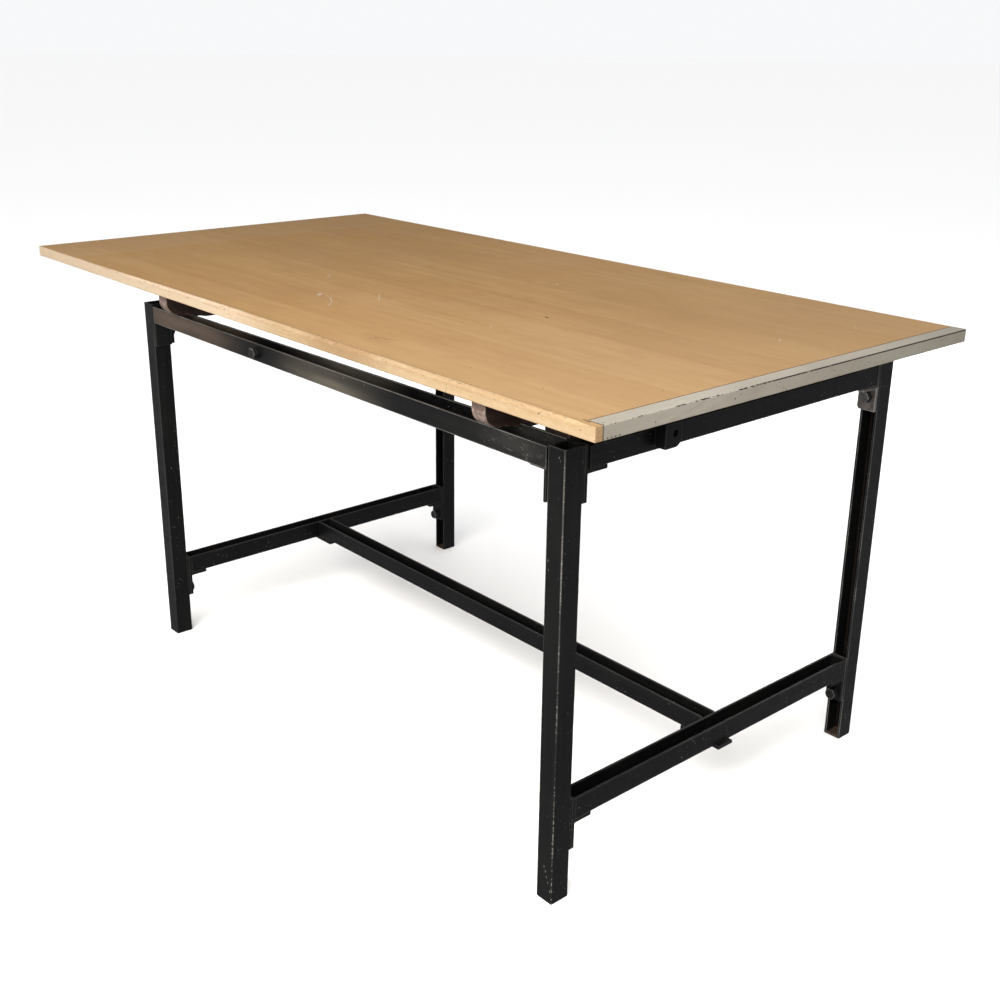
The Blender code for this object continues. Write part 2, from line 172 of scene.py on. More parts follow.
class Shape:
    """A mesh in the making, with the wear and the grime of each of its points."""

    def __init__(self):
        self.bm = bmesh.new()
        self.wear = self.bm.verts.layers.float.new("wear")
        self.grime = self.bm.verts.layers.float.new("grime")

    def vert(self, point, wear=0, grime=0):
        vert = self.bm.verts.new(point)
        vert[self.wear] = wear
        vert[self.grime] = grime
        return vert

    def skin(self, rings, closed=False):
        """Faces between rings of equal count, with both ends capped or joined to each other."""
        add = self.bm.faces.new
        faces = [] if closed else [add(rings[0]), add(rings[-1][::-1])]
        for low, high in zip(rings, rings[1:] + (rings[:1] if closed else [])):
            for i in range(len(low)):
                j = (i + 1) % len(low)
                faces.append(add((low[j], low[i], high[i], high[j])))
        bmesh.ops.recalc_face_normals(self.bm, faces=faces)
        for face in faces:
            face.normal_update()
        return faces

    def sweep(self, axis, corners, start, end, edge=EDGE, fade=FADE, cap_fade=CAP_FADE,
              end_wear=1):
        """A bar of one cross-section with rounded ends. cap_fade ends the wear on its end faces."""
        start, end = sorted((start, end))
        reach = min(fade, 0.35 * (end - start - 2 * edge))
        stations = []
        for w, way in ((start, 1), (end, -1)):
            stations += end_stations(w, way, lambda _: corners, edge, cap_fade, reach, end_wear)
        return self.loft(axis, stations, edge, fade)

    def loft(self, axis, stations, edge, fade=FADE):
        """A bar through stations of (place along the axis, corners, inset, least wear)."""
        return self.skin([[self.vert(place(axis, *point, w),
                                     0 if inset > edge else max(wear, worn), grime)
                           for point, wear, grime in outline(corners, inset, fade)]
                          for w, corners, inset, worn in stations])

    def box(self, x, y, z, axis, radius=EDGE, edge=EDGE, cap_fade=CAP_FADE):
        """A block with rounded edges, swept along the axis."""
        spans = dict(zip("XYZ", (sorted(x), sorted(y), sorted(z))))
        start, end = spans.pop(axis)
        (u0, u1), (v0, v1) = spans.values()
        corners = [(u0, v0, radius), (u1, v0, radius), (u1, v1, radius), (u0, v1, radius)]
        return self.sweep(axis, corners, start, end, edge, cap_fade=cap_fade)

    def lathe(self, axis, u, v, rings, sides, closed=False):
        """Rings of (place along the axis, radius, wear), where a callable goes by the angle."""
        def at(value, angle):
            return value(angle) if callable(value) else value

        return self.skin([[self.vert(place(axis, u + at(radius, a) * cos(a),
                                           v + at(radius, a) * sin(a), at(w, a)), wear)
                           for a in turns(sides)] for w, radius, wear in rings], closed)

    def bead(self, start, end, radius):
        """A weld bead: a round seam with the ripples that the rod leaves."""
        start, end = Vector(start), Vector(end)
        run = end - start
        across = run.orthogonal().normalized()
        up = run.cross(across).normalized()
        steps = max(4, int(run.length / 0.0011))
        rings = []
        for k in range(steps + 1):
            t = k / steps
            taper = min(1, 0.35 + 8 * min(t, 1 - t))
            swell = taper * (1 + 0.14 * sin(2.4 * k) + rng.uniform(-0.10, 0.10))
            rings.append([self.vert(start + run * t + (cos(a) * across + sin(a) * up)
                                    * radius * swell, 0.25, 0.5) for a in turns(8)])
        return self.skin(rings)

    def thread(self, axis, u, v, radius, start, end, pitch):
        """A screw thread with a chamfered end at 'end'."""
        way = 1 if end > start else -1
        length = abs(end - start)
        steps = max(6, int(length / pitch * 6))
        depth = 0.54 * pitch
        rings = []
        for k in range(steps + 1):
            w = length * k / steps
            rings.append([])
            for a in turns(24):
                tooth = abs(2 * ((w / pitch - a / (2 * pi)) % 1) - 1)
                r = min(radius - depth * min(1, max(0, 1.25 * tooth - 0.1)),
                        radius - depth + (length - w) * 0.9)
                point = place(axis, u + r * cos(a), v + r * sin(a), start + way * w)
                rings[-1].append(self.vert(point, 0.7 * (1 - tooth), tooth))
        return self.skin(rings)


def hexagon_head(flats, low, high, chamfers):
    """Rings of a hexagon whose corners are turned down at the ends that are named in chamfers."""
    face = 0.475 * flats
    way = 1 if high > low else -1

    def side(angle):
        turn = angle % (pi / 3) - pi / 6
        return min(flats / 2 / cos(turn), flats / 2 / cos(pi / 6) - 0.0004)

    def slant(end, into):
        return lambda angle: end + into * (way * (side(angle) - face) * tan(radians(30)))

    top, bottom = slant(high, -1), slant(low, 1)
    if "low" in chamfers:
        rings = [(low, face - 0.0015, 0.2), (low, face, 1), (bottom, side, 1)]
    else:
        rings = [(low, face, 0.3), (low + way * 0.0005, face, 0.3), (low + way * 0.0005, side, 0.8)]
    rings += [(lambda a: bottom(a) + way * 0.0008, side, 0.25),
              (lambda a: top(a) - way * 0.0008, side, 0.25)]
    return rings + [(top, side, 1), (high, face, 0.9), (high, face - 0.0015, 0.2)]


def add_object(name, data):
    obj = bpy.data.objects.new(name, data)
    bpy.context.scene.collection.objects.link(obj)
    return obj


def finish(shape, name, materials, nodes=()):
    """The object of a shape, riding on the frame and standing for its CAD nodes."""
    mesh = bpy.data.meshes.new(name)
    shape.bm.to_mesh(mesh)
    shape.bm.free()
    obj = add_object(name, mesh)
    for material in materials if isinstance(materials, list) else [materials]:
        mesh.materials.append(material)
    mesh.shade_smooth()
    mesh.set_sharp_from_angle(angle=radians(50))
    obj.modifiers.new("weighted_normals", "WEIGHTED_NORMAL").keep_sharp = True
    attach(obj, "root")
    if nodes:
        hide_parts(*nodes)


def channel(u0, u1, v_web, v_open):
    """Corners of a channel, with its web at v_web and its open side at v_open."""
    inside = v_web + (WALL if v_open > v_web else -WALL)
    return [(u0, v_open, TIP), (u0, v_web, BEND), (u1, v_web, BEND), (u1, v_open, TIP),
            (u1 - WALL, v_open, TIP), (u1 - WALL, inside, FILLET), (u0 + WALL, inside, FILLET),
            (u0 + WALL, v_open, TIP)]


# ---------------------------------------------------------------- materials

class Value:
    """A number or a colour that nodes work out. Arithmetic on it adds nodes."""

    def __init__(self, look, socket):
        self.look, self.socket = look, socket

    def __add__(self, other):
        return self.look.math("ADD", self, other)

    def __sub__(self, number):
        return self + -number

    def __rsub__(self, other):
        return self.look.math("SUBTRACT", other, self)

    def __mul__(self, other):
        return self.look.math("MULTIPLY", self, other)

    def __or__(self, other):
        """The larger of two masks."""
        return self.look.math("MAXIMUM", self, other)

    def __abs__(self):
        return self.look.math("ABSOLUTE", self)

    __radd__, __rmul__ = __add__, __mul__

    def band(self, low, high, to_low=0, to_high=1):
        """A smooth step from low to high."""
        inputs = {"Value": self, "From Min": low, "From Max": high, "To Min": to_low,
                  "To Max": to_high}
        return self.look.value("ShaderNodeMapRange", inputs, interpolation_type="SMOOTHSTEP")

    def fall(self, low, high):
        """A smooth step down from low to high."""
        return self.band(low, high, 1, 0)

    def within(self, low, high, soft):
        """A mask of the values from low to high."""
        return self.band(low - soft, low + soft) * self.fall(high - soft, high + soft)


class Look:
    """A procedural material in the making, with short calls for the nodes in it."""

    def __init__(self, name, specular=0.5):
        self.material = bpy.data.materials.new(name)
        self.material.use_nodes = True
        self.tree = self.material.node_tree
        self.shader = self.tree.nodes["Principled BSDF"]
        self.shader.inputs["Specular IOR Level"].default_value = specular
        self.position = self.value("ShaderNodeTexCoord", {}, "Object")
        self.x, self.y, self.z = self.split(self.position)
        normal = self.value("ShaderNodeNewGeometry", {}, "Normal")
        self.normal_x, self.normal_y, self.normal_z = self.split(normal)
        self.wear, self.grime = [self.value("ShaderNodeAttribute", {}, "Fac", attribute_name=name)
                                 for name in ("wear", "grime")]

    def value(self, kind, inputs, output=0, **settings):
        """The output of a new node."""
        node = self.tree.nodes.new(kind)
        for key, setting in settings.items():
            setattr(node, key, setting)
        for key, value in inputs.items():
            self.feed(node.inputs[key], value)
        return Value(self, node.outputs[output])

    def feed(self, socket, value):
        if isinstance(value, Value):
            self.tree.links.new(value.socket, socket)
        else:
            socket.default_value = (*value, 1) if socket.type == "RGBA" else value

    def split(self, vector):
        node = self.value("ShaderNodeSeparateXYZ", {0: vector}).socket.node
        return [Value(self, output) for output in node.outputs]

    def math(self, operation, a, b=0, clamp=False):
        return self.value("ShaderNodeMath", {0: a, 1: b}, operation=operation, use_clamp=clamp)

    def vector(self, operation, a, b, output=0):
        return self.value("ShaderNodeVectorMath", {0: a, 1: b}, output, operation=operation)

    def noise(self, scale, detail=2, roughness=0.5, distortion=0, offset=(0, 0, 0)):
        """Noise from 0 to 1 about 0.5, with 'scale' features to a metre, or one for each axis."""
        if not isinstance(scale, tuple):
            scale = (scale,) * 3
        scaled = self.vector("MULTIPLY", self.position, scale)
        inputs = {"Vector": self.vector("ADD", scaled, offset), "Scale": 1, "Detail": detail,
                  "Roughness": roughness, "Distortion": distortion}
        return self.value("ShaderNodeTexNoise", inputs)

    def mix(self, share, a, b):
        """A colour from a to b."""
        return self.value("ShaderNodeMix", {0: share, 6: a, 7: b}, 2, data_type="RGBA")

    def between(self, share, a, b):
        """A number from a to b."""
        return self.value("ShaderNodeMix", {0: share, 2: a, 3: b})

    def tint(self, mask, colour, share=1):
        """Lay a colour over what's there, where the mask is."""
        self.colour = self.mix(mask if share == 1 else mask * share, self.colour, colour)

    def stroke(self, start, end, width, soft=0.5):
        """A mask of a line between two points, of one width."""
        start = Vector(start)
        run = Vector(end) - start
        off = self.vector("SUBTRACT", self.position, start)
        share = self.math("MULTIPLY", self.vector("DOT_PRODUCT", off, run, "Value"),
                          1 / max(run.length_squared, 1e-9), clamp=True)
        foot = self.value("ShaderNodeVectorMath", {0: run, "Scale": share}, operation="SCALE")
        gap = self.vector("DISTANCE", off, foot, "Value")
        return gap.fall(width * (1 - soft) / 2, width * (1 + soft) / 2)

    def bump(self, height, distance, strength, normal=None):
        inputs = {"Height": height, "Distance": distance, "Strength": strength}
        if normal:
            inputs["Normal"] = normal
        return self.value("ShaderNodeBump", inputs)

    def done(self, roughness, normal=None, metallic=0):
        for name, value in (("Base Color", self.colour), ("Roughness", roughness),
                            ("Normal", normal), ("Metallic", metallic)):
            if value is not None:
                self.feed(self.shader.inputs[name], value)
        return self.material


def along(axis, fine, long):
    """Scales for something that runs along an axis."""
    return tuple(long if i == AXES[axis] else fine for i in range(3))


def rail_reflection_and_scuffs(look, axis):
    """Paint a brown-grey reflection onto the front rail's face, with a painted highlight and real
    scuffs by the corner. Returns the painted reflection's mask.
    """
    corner = look.x.within(0.6, 0.72, 0.06)
    lower = look.z.band(0.6975, 0.716, 0.3, 1)
    front = look.normal_y.fall(-0.9, -0.5)
    patchy = look.noise(along(axis, 40, 5), 3).band(0.3, 0.7, 0.55, 1)
    left = look.x.within(-0.46, -0.15, 0.1) * 0.85
    right = look.x.within(0.1, 0.29, 0.11) * look.z.band(0.704, 0.722, 1, 0.5)
    # film is the painted reflection: a lighter brown-grey sheen on the rail's front face
    film = (left | right) * front * patchy
    reflection_colour = look.mix(look.x.band(-0.05, 0.1), (0.15, 0.108, 0.08), (0.2, 0.176, 0.14))
    look.tint(film, reflection_colour, 0.85)
    # Painted highlight: a paler sheen on the lower face by the corner
    sheen = corner * lower * front
    look.tint(sheen, (0.055, 0.052, 0.048), 0.5)
    scuff = look.noise((60, 60, 170), 5, 0.72).band(0.54, 0.72)
    scuff = scuff * corner * front
    look.tint(scuff, (0.16, 0.15, 0.135), 0.55)
    return film


def leg_knocks(look):
    """A mask of the knocks on the right front leg: x, z and width of each."""
    knocks = ((0.764, 0.121, 0.0016), (0.7628, 0.112, 0.0012), (0.764, 0.103, 0.002),
              (0.7636, 0.094, 0.0015), (0.7638, 0.086, 0.0012), (0.747, 0.062, 0.0013),
              (0.7505, 0.055, 0.0016), (0.753, 0.046, 0.0014), (0.756, 0.037, 0.0013),
              (0.761, 0.024, 0.0016), (0.737, 0.566, 0.0015), (0.7385, 0.552, 0.001),
              (0.7535, 0.722, 0.001), (0.756, 0.718, 0.0008))
    return reduce(or_, [look.stroke((x, LEG_FRONT, z), (x + 0.0006, LEG_FRONT, z - 0.002), width,
                                    0.6) * 0.8 for x, z, width in knocks])


def paint(name, axis, worn=1, rubbed=False, hollow=None):
    """Black enamel brushed along a member, bare on its edges, chipped and dusty, with a painted
    glint along its edges; worn makes both the bare edges and the glint stronger.

    hollow is (x0, x1, y0, y1), a channel's inside, where the painted glint on the edges is
    weakened; with it the glint also grows towards the top, and the knocks of the right front leg
    are added.
    """
    look = Look(name, specular=0.24)
    cloud = look.noise(7, 3)
    smudge = look.noise(60, 4, 0.6)
    peel = look.noise(750, 1)
    brush = look.noise(along(axis, 900, 14), 2, 0.6)
    streak = look.noise(along(axis, 160, 3))
    ragged = look.noise(260, 4, 0.62)
    runs = look.noise(11)

    look.colour = look.mix(cloud.band(0.35, 0.68), (0.0036, 0.0038, 0.0041),
                           (0.007, 0.0069, 0.0067))
    look.tint(streak.band(0.5, 0.75), (0.013, 0.0125, 0.012), 0.5)
    dusty = look.normal_z.band(0.6, 0.95) * smudge.band(0.42, 0.66)
    look.tint(dusty, (0.038, 0.031, 0.024), 0.4)
    look.tint(look.grime.band(0.35, 0.9), (0.02, 0.014, 0.01), 0.55)

    hair = look.noise(along(axis, 1500, 22), 1, offset=(3.1, 5.7, 9.2)).band(0.7, 0.74)
    cross_axis = {"X": (90, 90, 1100), "Y": (1100, 90, 90), "Z": (1100, 1100, 90)}
    cross = look.noise(cross_axis[axis], 1, offset=(8, 1, 4)).band(0.735, 0.765)
    scratch = (hair | cross) * runs.band(0.46, 0.62)
    look.tint(scratch, (0.05, 0.047, 0.043), 0.25)
    rough = smudge.band(0.3, 0.72, 0.3, 0.47)
    rough = look.between(dusty * 0.6, rough, 0.75)

    # rubbed lays a painted reflection on the front rail's face, besides real scuffs by its corner
    if rubbed:
        rough = look.between(rail_reflection_and_scuffs(look, axis) * 0.7, rough, 0.6)

    # Painted glint: a pale line along the rounded edges, broken up by shine and scaled by worn
    shine = runs.band(0.3, 0.7, 0.3, 1)
    arris = look.wear.band(0.55, 1) * shine
    if hollow:
        x0, x1, y0, y1 = hollow
        inside = look.x.within(x0, x1, 0.0006) * look.y.within(y0, y1, 0.0006)
        # The painted glint is weak inside the channel and low down on the member
        arris *= 1 + inside * -0.9
        arris *= look.z.band(0.12, 0.66, 0.08, 0.85)
    look.tint(arris * (0.35 * worn), (0.3, 0.295, 0.285))
    edge = look.wear * 0.78 + ragged * 0.75
    edge += runs.band(0.35, 0.65) * 0.1
    bare = edge.band(1.4 - 0.1 * worn, 1.46 - 0.1 * worn)
    speck = look.noise(300, 1, offset=(2, 7, 1)).band(0.745, 0.765)
    speck *= runs.band(0.45, 0.6)
    bare |= speck
    if hollow:
        bare |= leg_knocks(look)
    steel = look.mix(smudge.band(0.4, 0.62), (0.42, 0.41, 0.39), (0.27, 0.23, 0.19))
    look.tint(bare, steel)
    rough = look.between(bare, rough, 0.46)

    height = brush * 0.5 + peel * 0.5
    height += bare * -0.8
    normal = look.bump(height, 0.0001, 0.6)
    normal = look.bump(smudge, 0.0012, 0.18, normal)
    return look.done(rough, normal, bare * 0.6)


def bare_plate(name, axis):
    """A bracket with most of its paint gone: grey steel, rusty and painted with shade in its
    hollows, and with a painted shine on its edges.
    """
    look = Look(name, specular=0.5)
    blotch = look.noise(70, 5, 0.62)
    fine = look.noise(420, 3, 0.6)
    grain = look.noise(along(axis, 1100, 60))
    look.colour = look.mix(blotch.band(0.36, 0.64), (0.155, 0.132, 0.122), (0.3, 0.268, 0.25))
    look.tint(fine.band(0.52, 0.66), (0.1, 0.066, 0.048), 0.5)
    # Rusty brown in the inside corners, partly painted shade
    rust_and_shade = look.grime.band(0.2, 0.8) * 0.75
    look.tint(rust_and_shade, (0.065, 0.035, 0.022))
    left = look.noise(38, 3, offset=(4, 2, 6)).band(0.6, 0.64)
    left *= look.wear.fall(0.05, 0.5)
    left |= look.z.band(0.693, 0.6965)
    look.tint(left, (0.012, 0.012, 0.012), 0.85)
    # Painted shine: near-white edges below the rail
    shine = (look.wear * 0.7 + fine * 0.5).band(0.72, 0.86)
    shine *= look.z.band(0.693, 0.6965, 1, 0.1)
    look.tint(shine, (0.68, 0.66, 0.63))
    rough = blotch.band(0.35, 0.65, 0.42, 0.6)
    rough = look.between(shine, rough, 0.32)
    height = fine * 0.7 + grain * 0.3
    normal = look.bump(height, 0.00018, 0.7)
    metallic = (1 - (rust_and_shade | left * 0.85)) * 0.55
    return look.done(rough, normal, metallic)


def rusty_plate():
    """The welded plate in the foot of a leg."""
    look = Look("foot_plate_rust", specular=0.3)
    blotch = look.noise(160, 5, 0.65)
    fine = look.noise(900)
    look.colour = look.mix(blotch.band(0.38, 0.62), (0.045, 0.026, 0.018), (0.135, 0.096, 0.07))
    look.tint(fine.band(0.55, 0.7), (0.05, 0.022, 0.011))
    normal = look.bump(blotch + fine * 0.5, 0.0004, 0.7)
    return look.done(blotch.band(0.3, 0.7, 0.6, 0.85), normal, 0.2)


def fastener(name, dark, light, worn_colour, metallic, threshold, sides=None):
    """Steel of bolts and nuts: a finish that's rubbed off on edges, with grime by the joints; given
    sides, the flanks of a head are painted dark as shade.
    """
    look = Look(name, specular=0.5)
    blotch = look.noise(190, 4, 0.6)
    fine = look.noise(1300)
    look.colour = look.mix(blotch.band(0.36, 0.66), dark, light)
    look.tint(look.grime.band(0.2, 0.9), (0.03, 0.02, 0.014), 0.6)
    # Painted shade: the flanks of a head take the dark sides colour
    if sides:
        shaded_flank = abs(look.normal_y).fall(0.55, 0.85)
        look.tint(shaded_flank, sides, 0.92)
    worn = look.wear * 0.6 + blotch * 0.6
    worn = worn.band(threshold, threshold + 0.12)
    look.tint(worn, worn_colour)
    rough = blotch.band(0.3, 0.7, 0.32, 0.52)
    normal = look.bump(fine + blotch, 0.00012, 0.6)
    metal = look.between(worn, metallic, 0.85)
    return look.done(rough, normal, metal)


def strip_paint():
    """Pale enamel on the steel edge strip, knocked off along its outer arris, with painted shade on
    its side face and a painted shade line along its front end.
    """
    look = Look("strip_enamel", specular=0.45)
    cloud = look.noise((9, 5, 9), 3)
    smudge = look.noise((120, 30, 120), 4, 0.6)
    fine = look.noise(800)
    look.colour = look.mix(cloud.band(0.35, 0.65), (0.465, 0.425, 0.35), (0.54, 0.5, 0.425))
    look.tint(smudge.band(0.5, 0.72), (0.36, 0.305, 0.225), 0.3)
    low = look.z.fall(0.779, 0.7835)
    low *= look.noise((60, 40, 60), 3).band(0.42, 0.62)
    look.tint(low, (0.3, 0.22, 0.14), 0.35)

    outer = look.x.band(0.863, 0.864) * look.z.band(0.7978, 0.7988)
    ragged = look.noise((500, 150, 500), 4, 0.65)
    runs = look.noise((4, 28, 4), 3, 0.6)
    chip = look.wear * 0.62 + (ragged * 0.8 + runs * 0.55)
    chip += look.y.band(-0.34, 0.02, -0.17, 0)
    chip += look.y.band(0.05, 0.38, 0, 0.12)
    chip = chip.band(1.2, 1.25) * outer
    speck = look.noise((330, 220, 330), 1, offset=(5, 1, 2)).band(0.735, 0.75)
    chip |= speck * 0.8
    for y in (-0.4176, -0.4102, -0.4029, -0.3955):
        dot = look.stroke((SIDE, y - 0.0007, 0.7812), (SIDE, y + 0.0007, 0.7818), 0.0017)
        chip |= dot
    for start, end, width in (((SIDE, 0.121, 0.798), (SIDE, 0.107, 0.784), 0.0014),
                              ((SIDE, 0.132, 0.795), (SIDE, 0.127, 0.785), 0.001),
                              ((SIDE, -0.231, 0.796), (SIDE, -0.262, 0.789), 0.001)):
        stain = look.stroke(start, end, width, 0.8)
        look.tint(stain, (0.36, 0.27, 0.14), 0.8)
    # Painted shade: a dark line along the strip's front end, across its top and down its side
    for start, end, width in (((0.84, -0.4256, TOP), (SIDE, -0.4256, TOP), 0.0018),
                              ((SIDE, -0.4256, TOP), (SIDE, -0.4256, 0.779), 0.002)):
        look.tint(look.stroke(start, end, width, 0.4), (0.045, 0.028, 0.02), 0.9)
    for x, y in ((0.853, -0.4238), (0.86, -0.4228), (0.8632, -0.424), (0.856, -0.418)):
        chip |= look.stroke((x, y, TOP), (x + 0.0008, y + 0.0004, TOP), 0.0013)
    look.tint(look.y.band(0.05, 0.44, 0, 0.28), (0.3, 0.265, 0.215))
    # Painted shade: the outer side face is painted darker than the top
    side = look.normal_x.band(0.5, 0.9) * 0.22
    look.tint(side, (0.36, 0.325, 0.255))
    look.tint(chip, (0.035, 0.026, 0.021))
    corner = look.grime.band(0.3, 0.9) * 0.4
    look.tint(corner, (0.2, 0.15, 0.1))
    rough = look.between(chip, smudge.band(0.3, 0.7, 0.36, 0.52), 0.7)
    height = fine * 0.25 + chip * -1
    normal = look.bump(height, 0.00022, 0.7)
    normal = look.bump(smudge, 0.0009, 0.15, normal)
    return look.done(rough, normal, 0)


def wood_grain(look, axis, ring_across, ring_count, ring_wander):
    """Streaks, pores and growth lines of timber whose fibres run along an axis."""
    streak = look.noise(along(axis, 55, 1.1), 4, 0.55, 0.3)
    fibre = look.noise(along(axis, 900, 9), 3, 0.6)
    pores = look.noise(along(axis, 1500, 45), 1, offset=(1, 2, 3)).band(0.64, 0.72)
    wander = look.noise(along(axis, 9, 1.3))
    across = ring_across * ring_count
    line = look.math("SINE", across + wander * ring_wander)
    rings = line.band(-0.2, 1)
    return streak, fibre, pores, rings


def leaf_tones(look, skewed):
    """How light each leaf of the veneer is, and a mask of the joints between the leaves."""
    leaves = ((FRONT, 0.6), (-0.349, 0.42), (-0.241, 0.62), (-0.168, 0.58), (-0.091, 0.4),
              (0.026, 0.55), (0.135, 0.45), (0.294, 0.62))
    ramp = look.tree.nodes.new("ShaderNodeValToRGB")
    ramp.color_ramp.interpolation = "CONSTANT"
    stops = ramp.color_ramp.elements
    stops.remove(stops[1])
    for i, (y, tone) in enumerate(leaves):
        stop = stops.new(y - FRONT) if i else stops[0]
        stop.color = (tone, tone, tone, 1)
    look.feed(ramp.inputs[0], skewed - FRONT)
    joints = reduce(or_, [skewed.within(y - 0.0003, y + 0.0003, 0.0003) for y, _ in leaves[1:]])
    return Value(look, ramp.outputs[0]), joints


def add_spots(look):
    """Spots of ink and dirt, a burn mark by the steel strip with a painted shade line along the
    strip's front end, and a knot.
    """
    marks = ((0.362, -0.052, 0.0052, (0.012, 0.01, 0.01)),
             (0.458, -0.098, 0.002, (0.12, 0.06, 0.03)), (0.743, -0.085, 0.002, (0.16, 0.05, 0.03)),
             (0.427, -0.045, 0.0016, (0.16, 0.08, 0.04)),
             (0.803, -0.246, 0.0022, (0.14, 0.08, 0.04)),
             (0.488, -0.352, 0.0018, (0.14, 0.07, 0.03)),
             (0.543, -0.372, 0.0018, (0.14, 0.07, 0.03)), (0.69, -0.366, 0.002, (0.18, 0.1, 0.05)),
             (0.304, -0.37, 0.0034, (0.15, 0.085, 0.04)))
    for x, y, size, shade in marks:
        spot = look.stroke((x, y, TOP), (x + 0.35 * size, y - 0.25 * size, TOP), size, 0.35)
        look.tint(spot, shade, 0.9)
    scorch_and_shade_line = look.stroke((0.832, -0.4272, TOP), (0.844, -0.43, TOP), 0.0044, 0.8)
    # Painted shade: a dark line on the edging's top along the strip's front end
    scorch_and_shade_line |= look.stroke((0.8385, -0.4262, TOP), (0.864, -0.4262, TOP), 0.0016)
    look.tint(scorch_and_shade_line, (0.17, 0.085, 0.04), 0.65)
    knot = look.stroke((0.275, -0.366, TOP), (0.335, -0.368, TOP), 0.022, 0.9)
    knot *= look.noise((70, 320, 1), 4, 0.65, 1.2).band(0.45, 0.62)
    look.tint(knot, (0.26, 0.145, 0.06), 0.45)


def scratched(look):
    """A mask of the scratches in the drawing surface: ends, width and depth of each."""
    scratches = (((-0.041, -0.245), (-0.034, -0.254), 0.0065, 0.75),
                 ((-0.024, -0.246), (0.004, -0.251), 0.002, 0.55),
                 ((0, -0.252), (0.03, -0.268), 0.0015, 0.75),
                 ((0.03, -0.268), (0.056, -0.294), 0.0014, 0.75),
                 ((0.024, -0.16), (0.046, -0.176), 0.0016, 0.7),
                 ((0.046, -0.176), (0.074, -0.196), 0.0014, 0.7),
                 ((0.083, -0.168), (0.1, -0.19), 0.001, 0.4),
                 ((0.155, 0.17), (0.163, 0.161), 0.0026, 0.65),
                 ((-0.193, -0.123), (-0.172, -0.142), 0.0022, 0.5),
                 ((0.738, 0.305), (0.747, 0.295), 0.0022, 0.45),
                 ((0.712, 0.135), (0.721, 0.12), 0.0022, 0.45),
                 ((0.358, -0.174), (0.366, -0.182), 0.0016, 0.5))
    marred = reduce(or_, [look.stroke((*start, TOP), (*end, TOP), width, 0.7) * depth
                          for start, end, width, depth in scratches])
    return marred * look.noise(240, 3, 0.7).band(0.38, 0.56, 0.25, 1)


def veneer():
    """The drawing surface: leaves of pale veneer laid edge to edge, with the marks of use."""
    look = Look("board_veneer_top", specular=0.2)
    streak, fibre, pores, rings = wood_grain(look, "X", look.y, 240, 34)
    tone, joints = leaf_tones(look, look.y + look.x * 0.004)
    light, dark = (0.59, 0.362, 0.16), (0.47, 0.262, 0.098)
    mixed = (streak - 0.5) * 0.9 + tone
    cloud = look.noise((2.2, 4.5, 1), 3)
    mixed += (cloud - 0.5) * 0.9
    look.colour = look.mix(mixed.band(0.05, 1), dark, light)
    look.tint(rings, (0.42, 0.24, 0.11), 0.1)
    look.tint(fibre.band(0.45, 0.75, 0, 0.28), (0.43, 0.25, 0.11))
    look.tint(pores, (0.3, 0.16, 0.07), 0.2)
    mottle = look.noise((9, 26, 1), 5, 0.62, 0.5, offset=(1, 3, 0))
    look.tint(mottle.band(0.44, 0.66, 0, 0.34), (0.435, 0.24, 0.092))
    pale = look.noise((6, 40, 1), 4, 0.6, offset=(7, 2, 0))
    look.tint(pale.band(0.52, 0.7, 0, 0.26), (0.64, 0.41, 0.195))
    fleck = look.noise((120, 620, 1), offset=(5, 8, 0)).band(0.66, 0.72)
    look.tint(fleck, (0.33, 0.175, 0.068), 0.3)
    warm = look.noise((3, 1.6, 1), offset=(4, 9, 0))
    look.tint(warm.band(0.48, 0.72, 0, 0.35), (0.55, 0.31, 0.13))

    # The steel-edged end is paler and the other end darker
    look.tint(look.x.band(0.05, 0.85, 0, 0.3), (0.6, 0.415, 0.24))
    look.tint(look.x.band(0.25, -0.75, 0, 0.34), (0.41, 0.23, 0.072))
    look.tint(joints, (0.25, 0.13, 0.06), 0.3)
    rim = look.wear * 0.65 + look.noise(140, 3) * 0.6
    look.tint(rim.band(0.7, 0.95, 0, 0.75), (0.2, 0.105, 0.045))
    beside_strip = look.x.band(0.8358, 0.8368) * look.y.band(-0.4265, -0.4255)
    look.tint(beside_strip, (0.085, 0.045, 0.024), 0.75)
    far_left = look.x.fall(-0.695, -0.685)
    look.tint(far_left, (0.52, 0.42, 0.31), 0.1)
    look.tint(look.x.within(-0.69, -0.686, 0.002), (0.66, 0.52, 0.36), 0.25)

    add_spots(look)
    marred = scratched(look)
    look.tint(marred, (0.8, 0.72, 0.62))
    hair = look.noise((16, 700, 1), 1, offset=(6, 6, 0)).band(0.74, 0.77)
    nicks = look.noise((260, 38, 1), 1, offset=(1, 8, 0)).band(0.755, 0.775)
    fine_marks = (hair | nicks) * cloud.band(0.48, 0.6)
    look.tint(fine_marks, (0.78, 0.62, 0.42), 0.22)

    film = look.noise((5, 7, 1), 4, 0.6, offset=(2, 3, 0))
    rough = film.band(0.3, 0.7, 0.5, 0.62)
    rough = look.between(marred * 0.8, rough, 0.75)
    height = fibre * 0.6 + pores * -0.5
    height += marred * -0.8
    normal = look.bump(height, 6e-05, 0.6)
    ripple = look.noise((3, 24, 1))
    normal = look.bump(ripple, 0.001, 0.12, normal)
    return look.done(rough, normal)


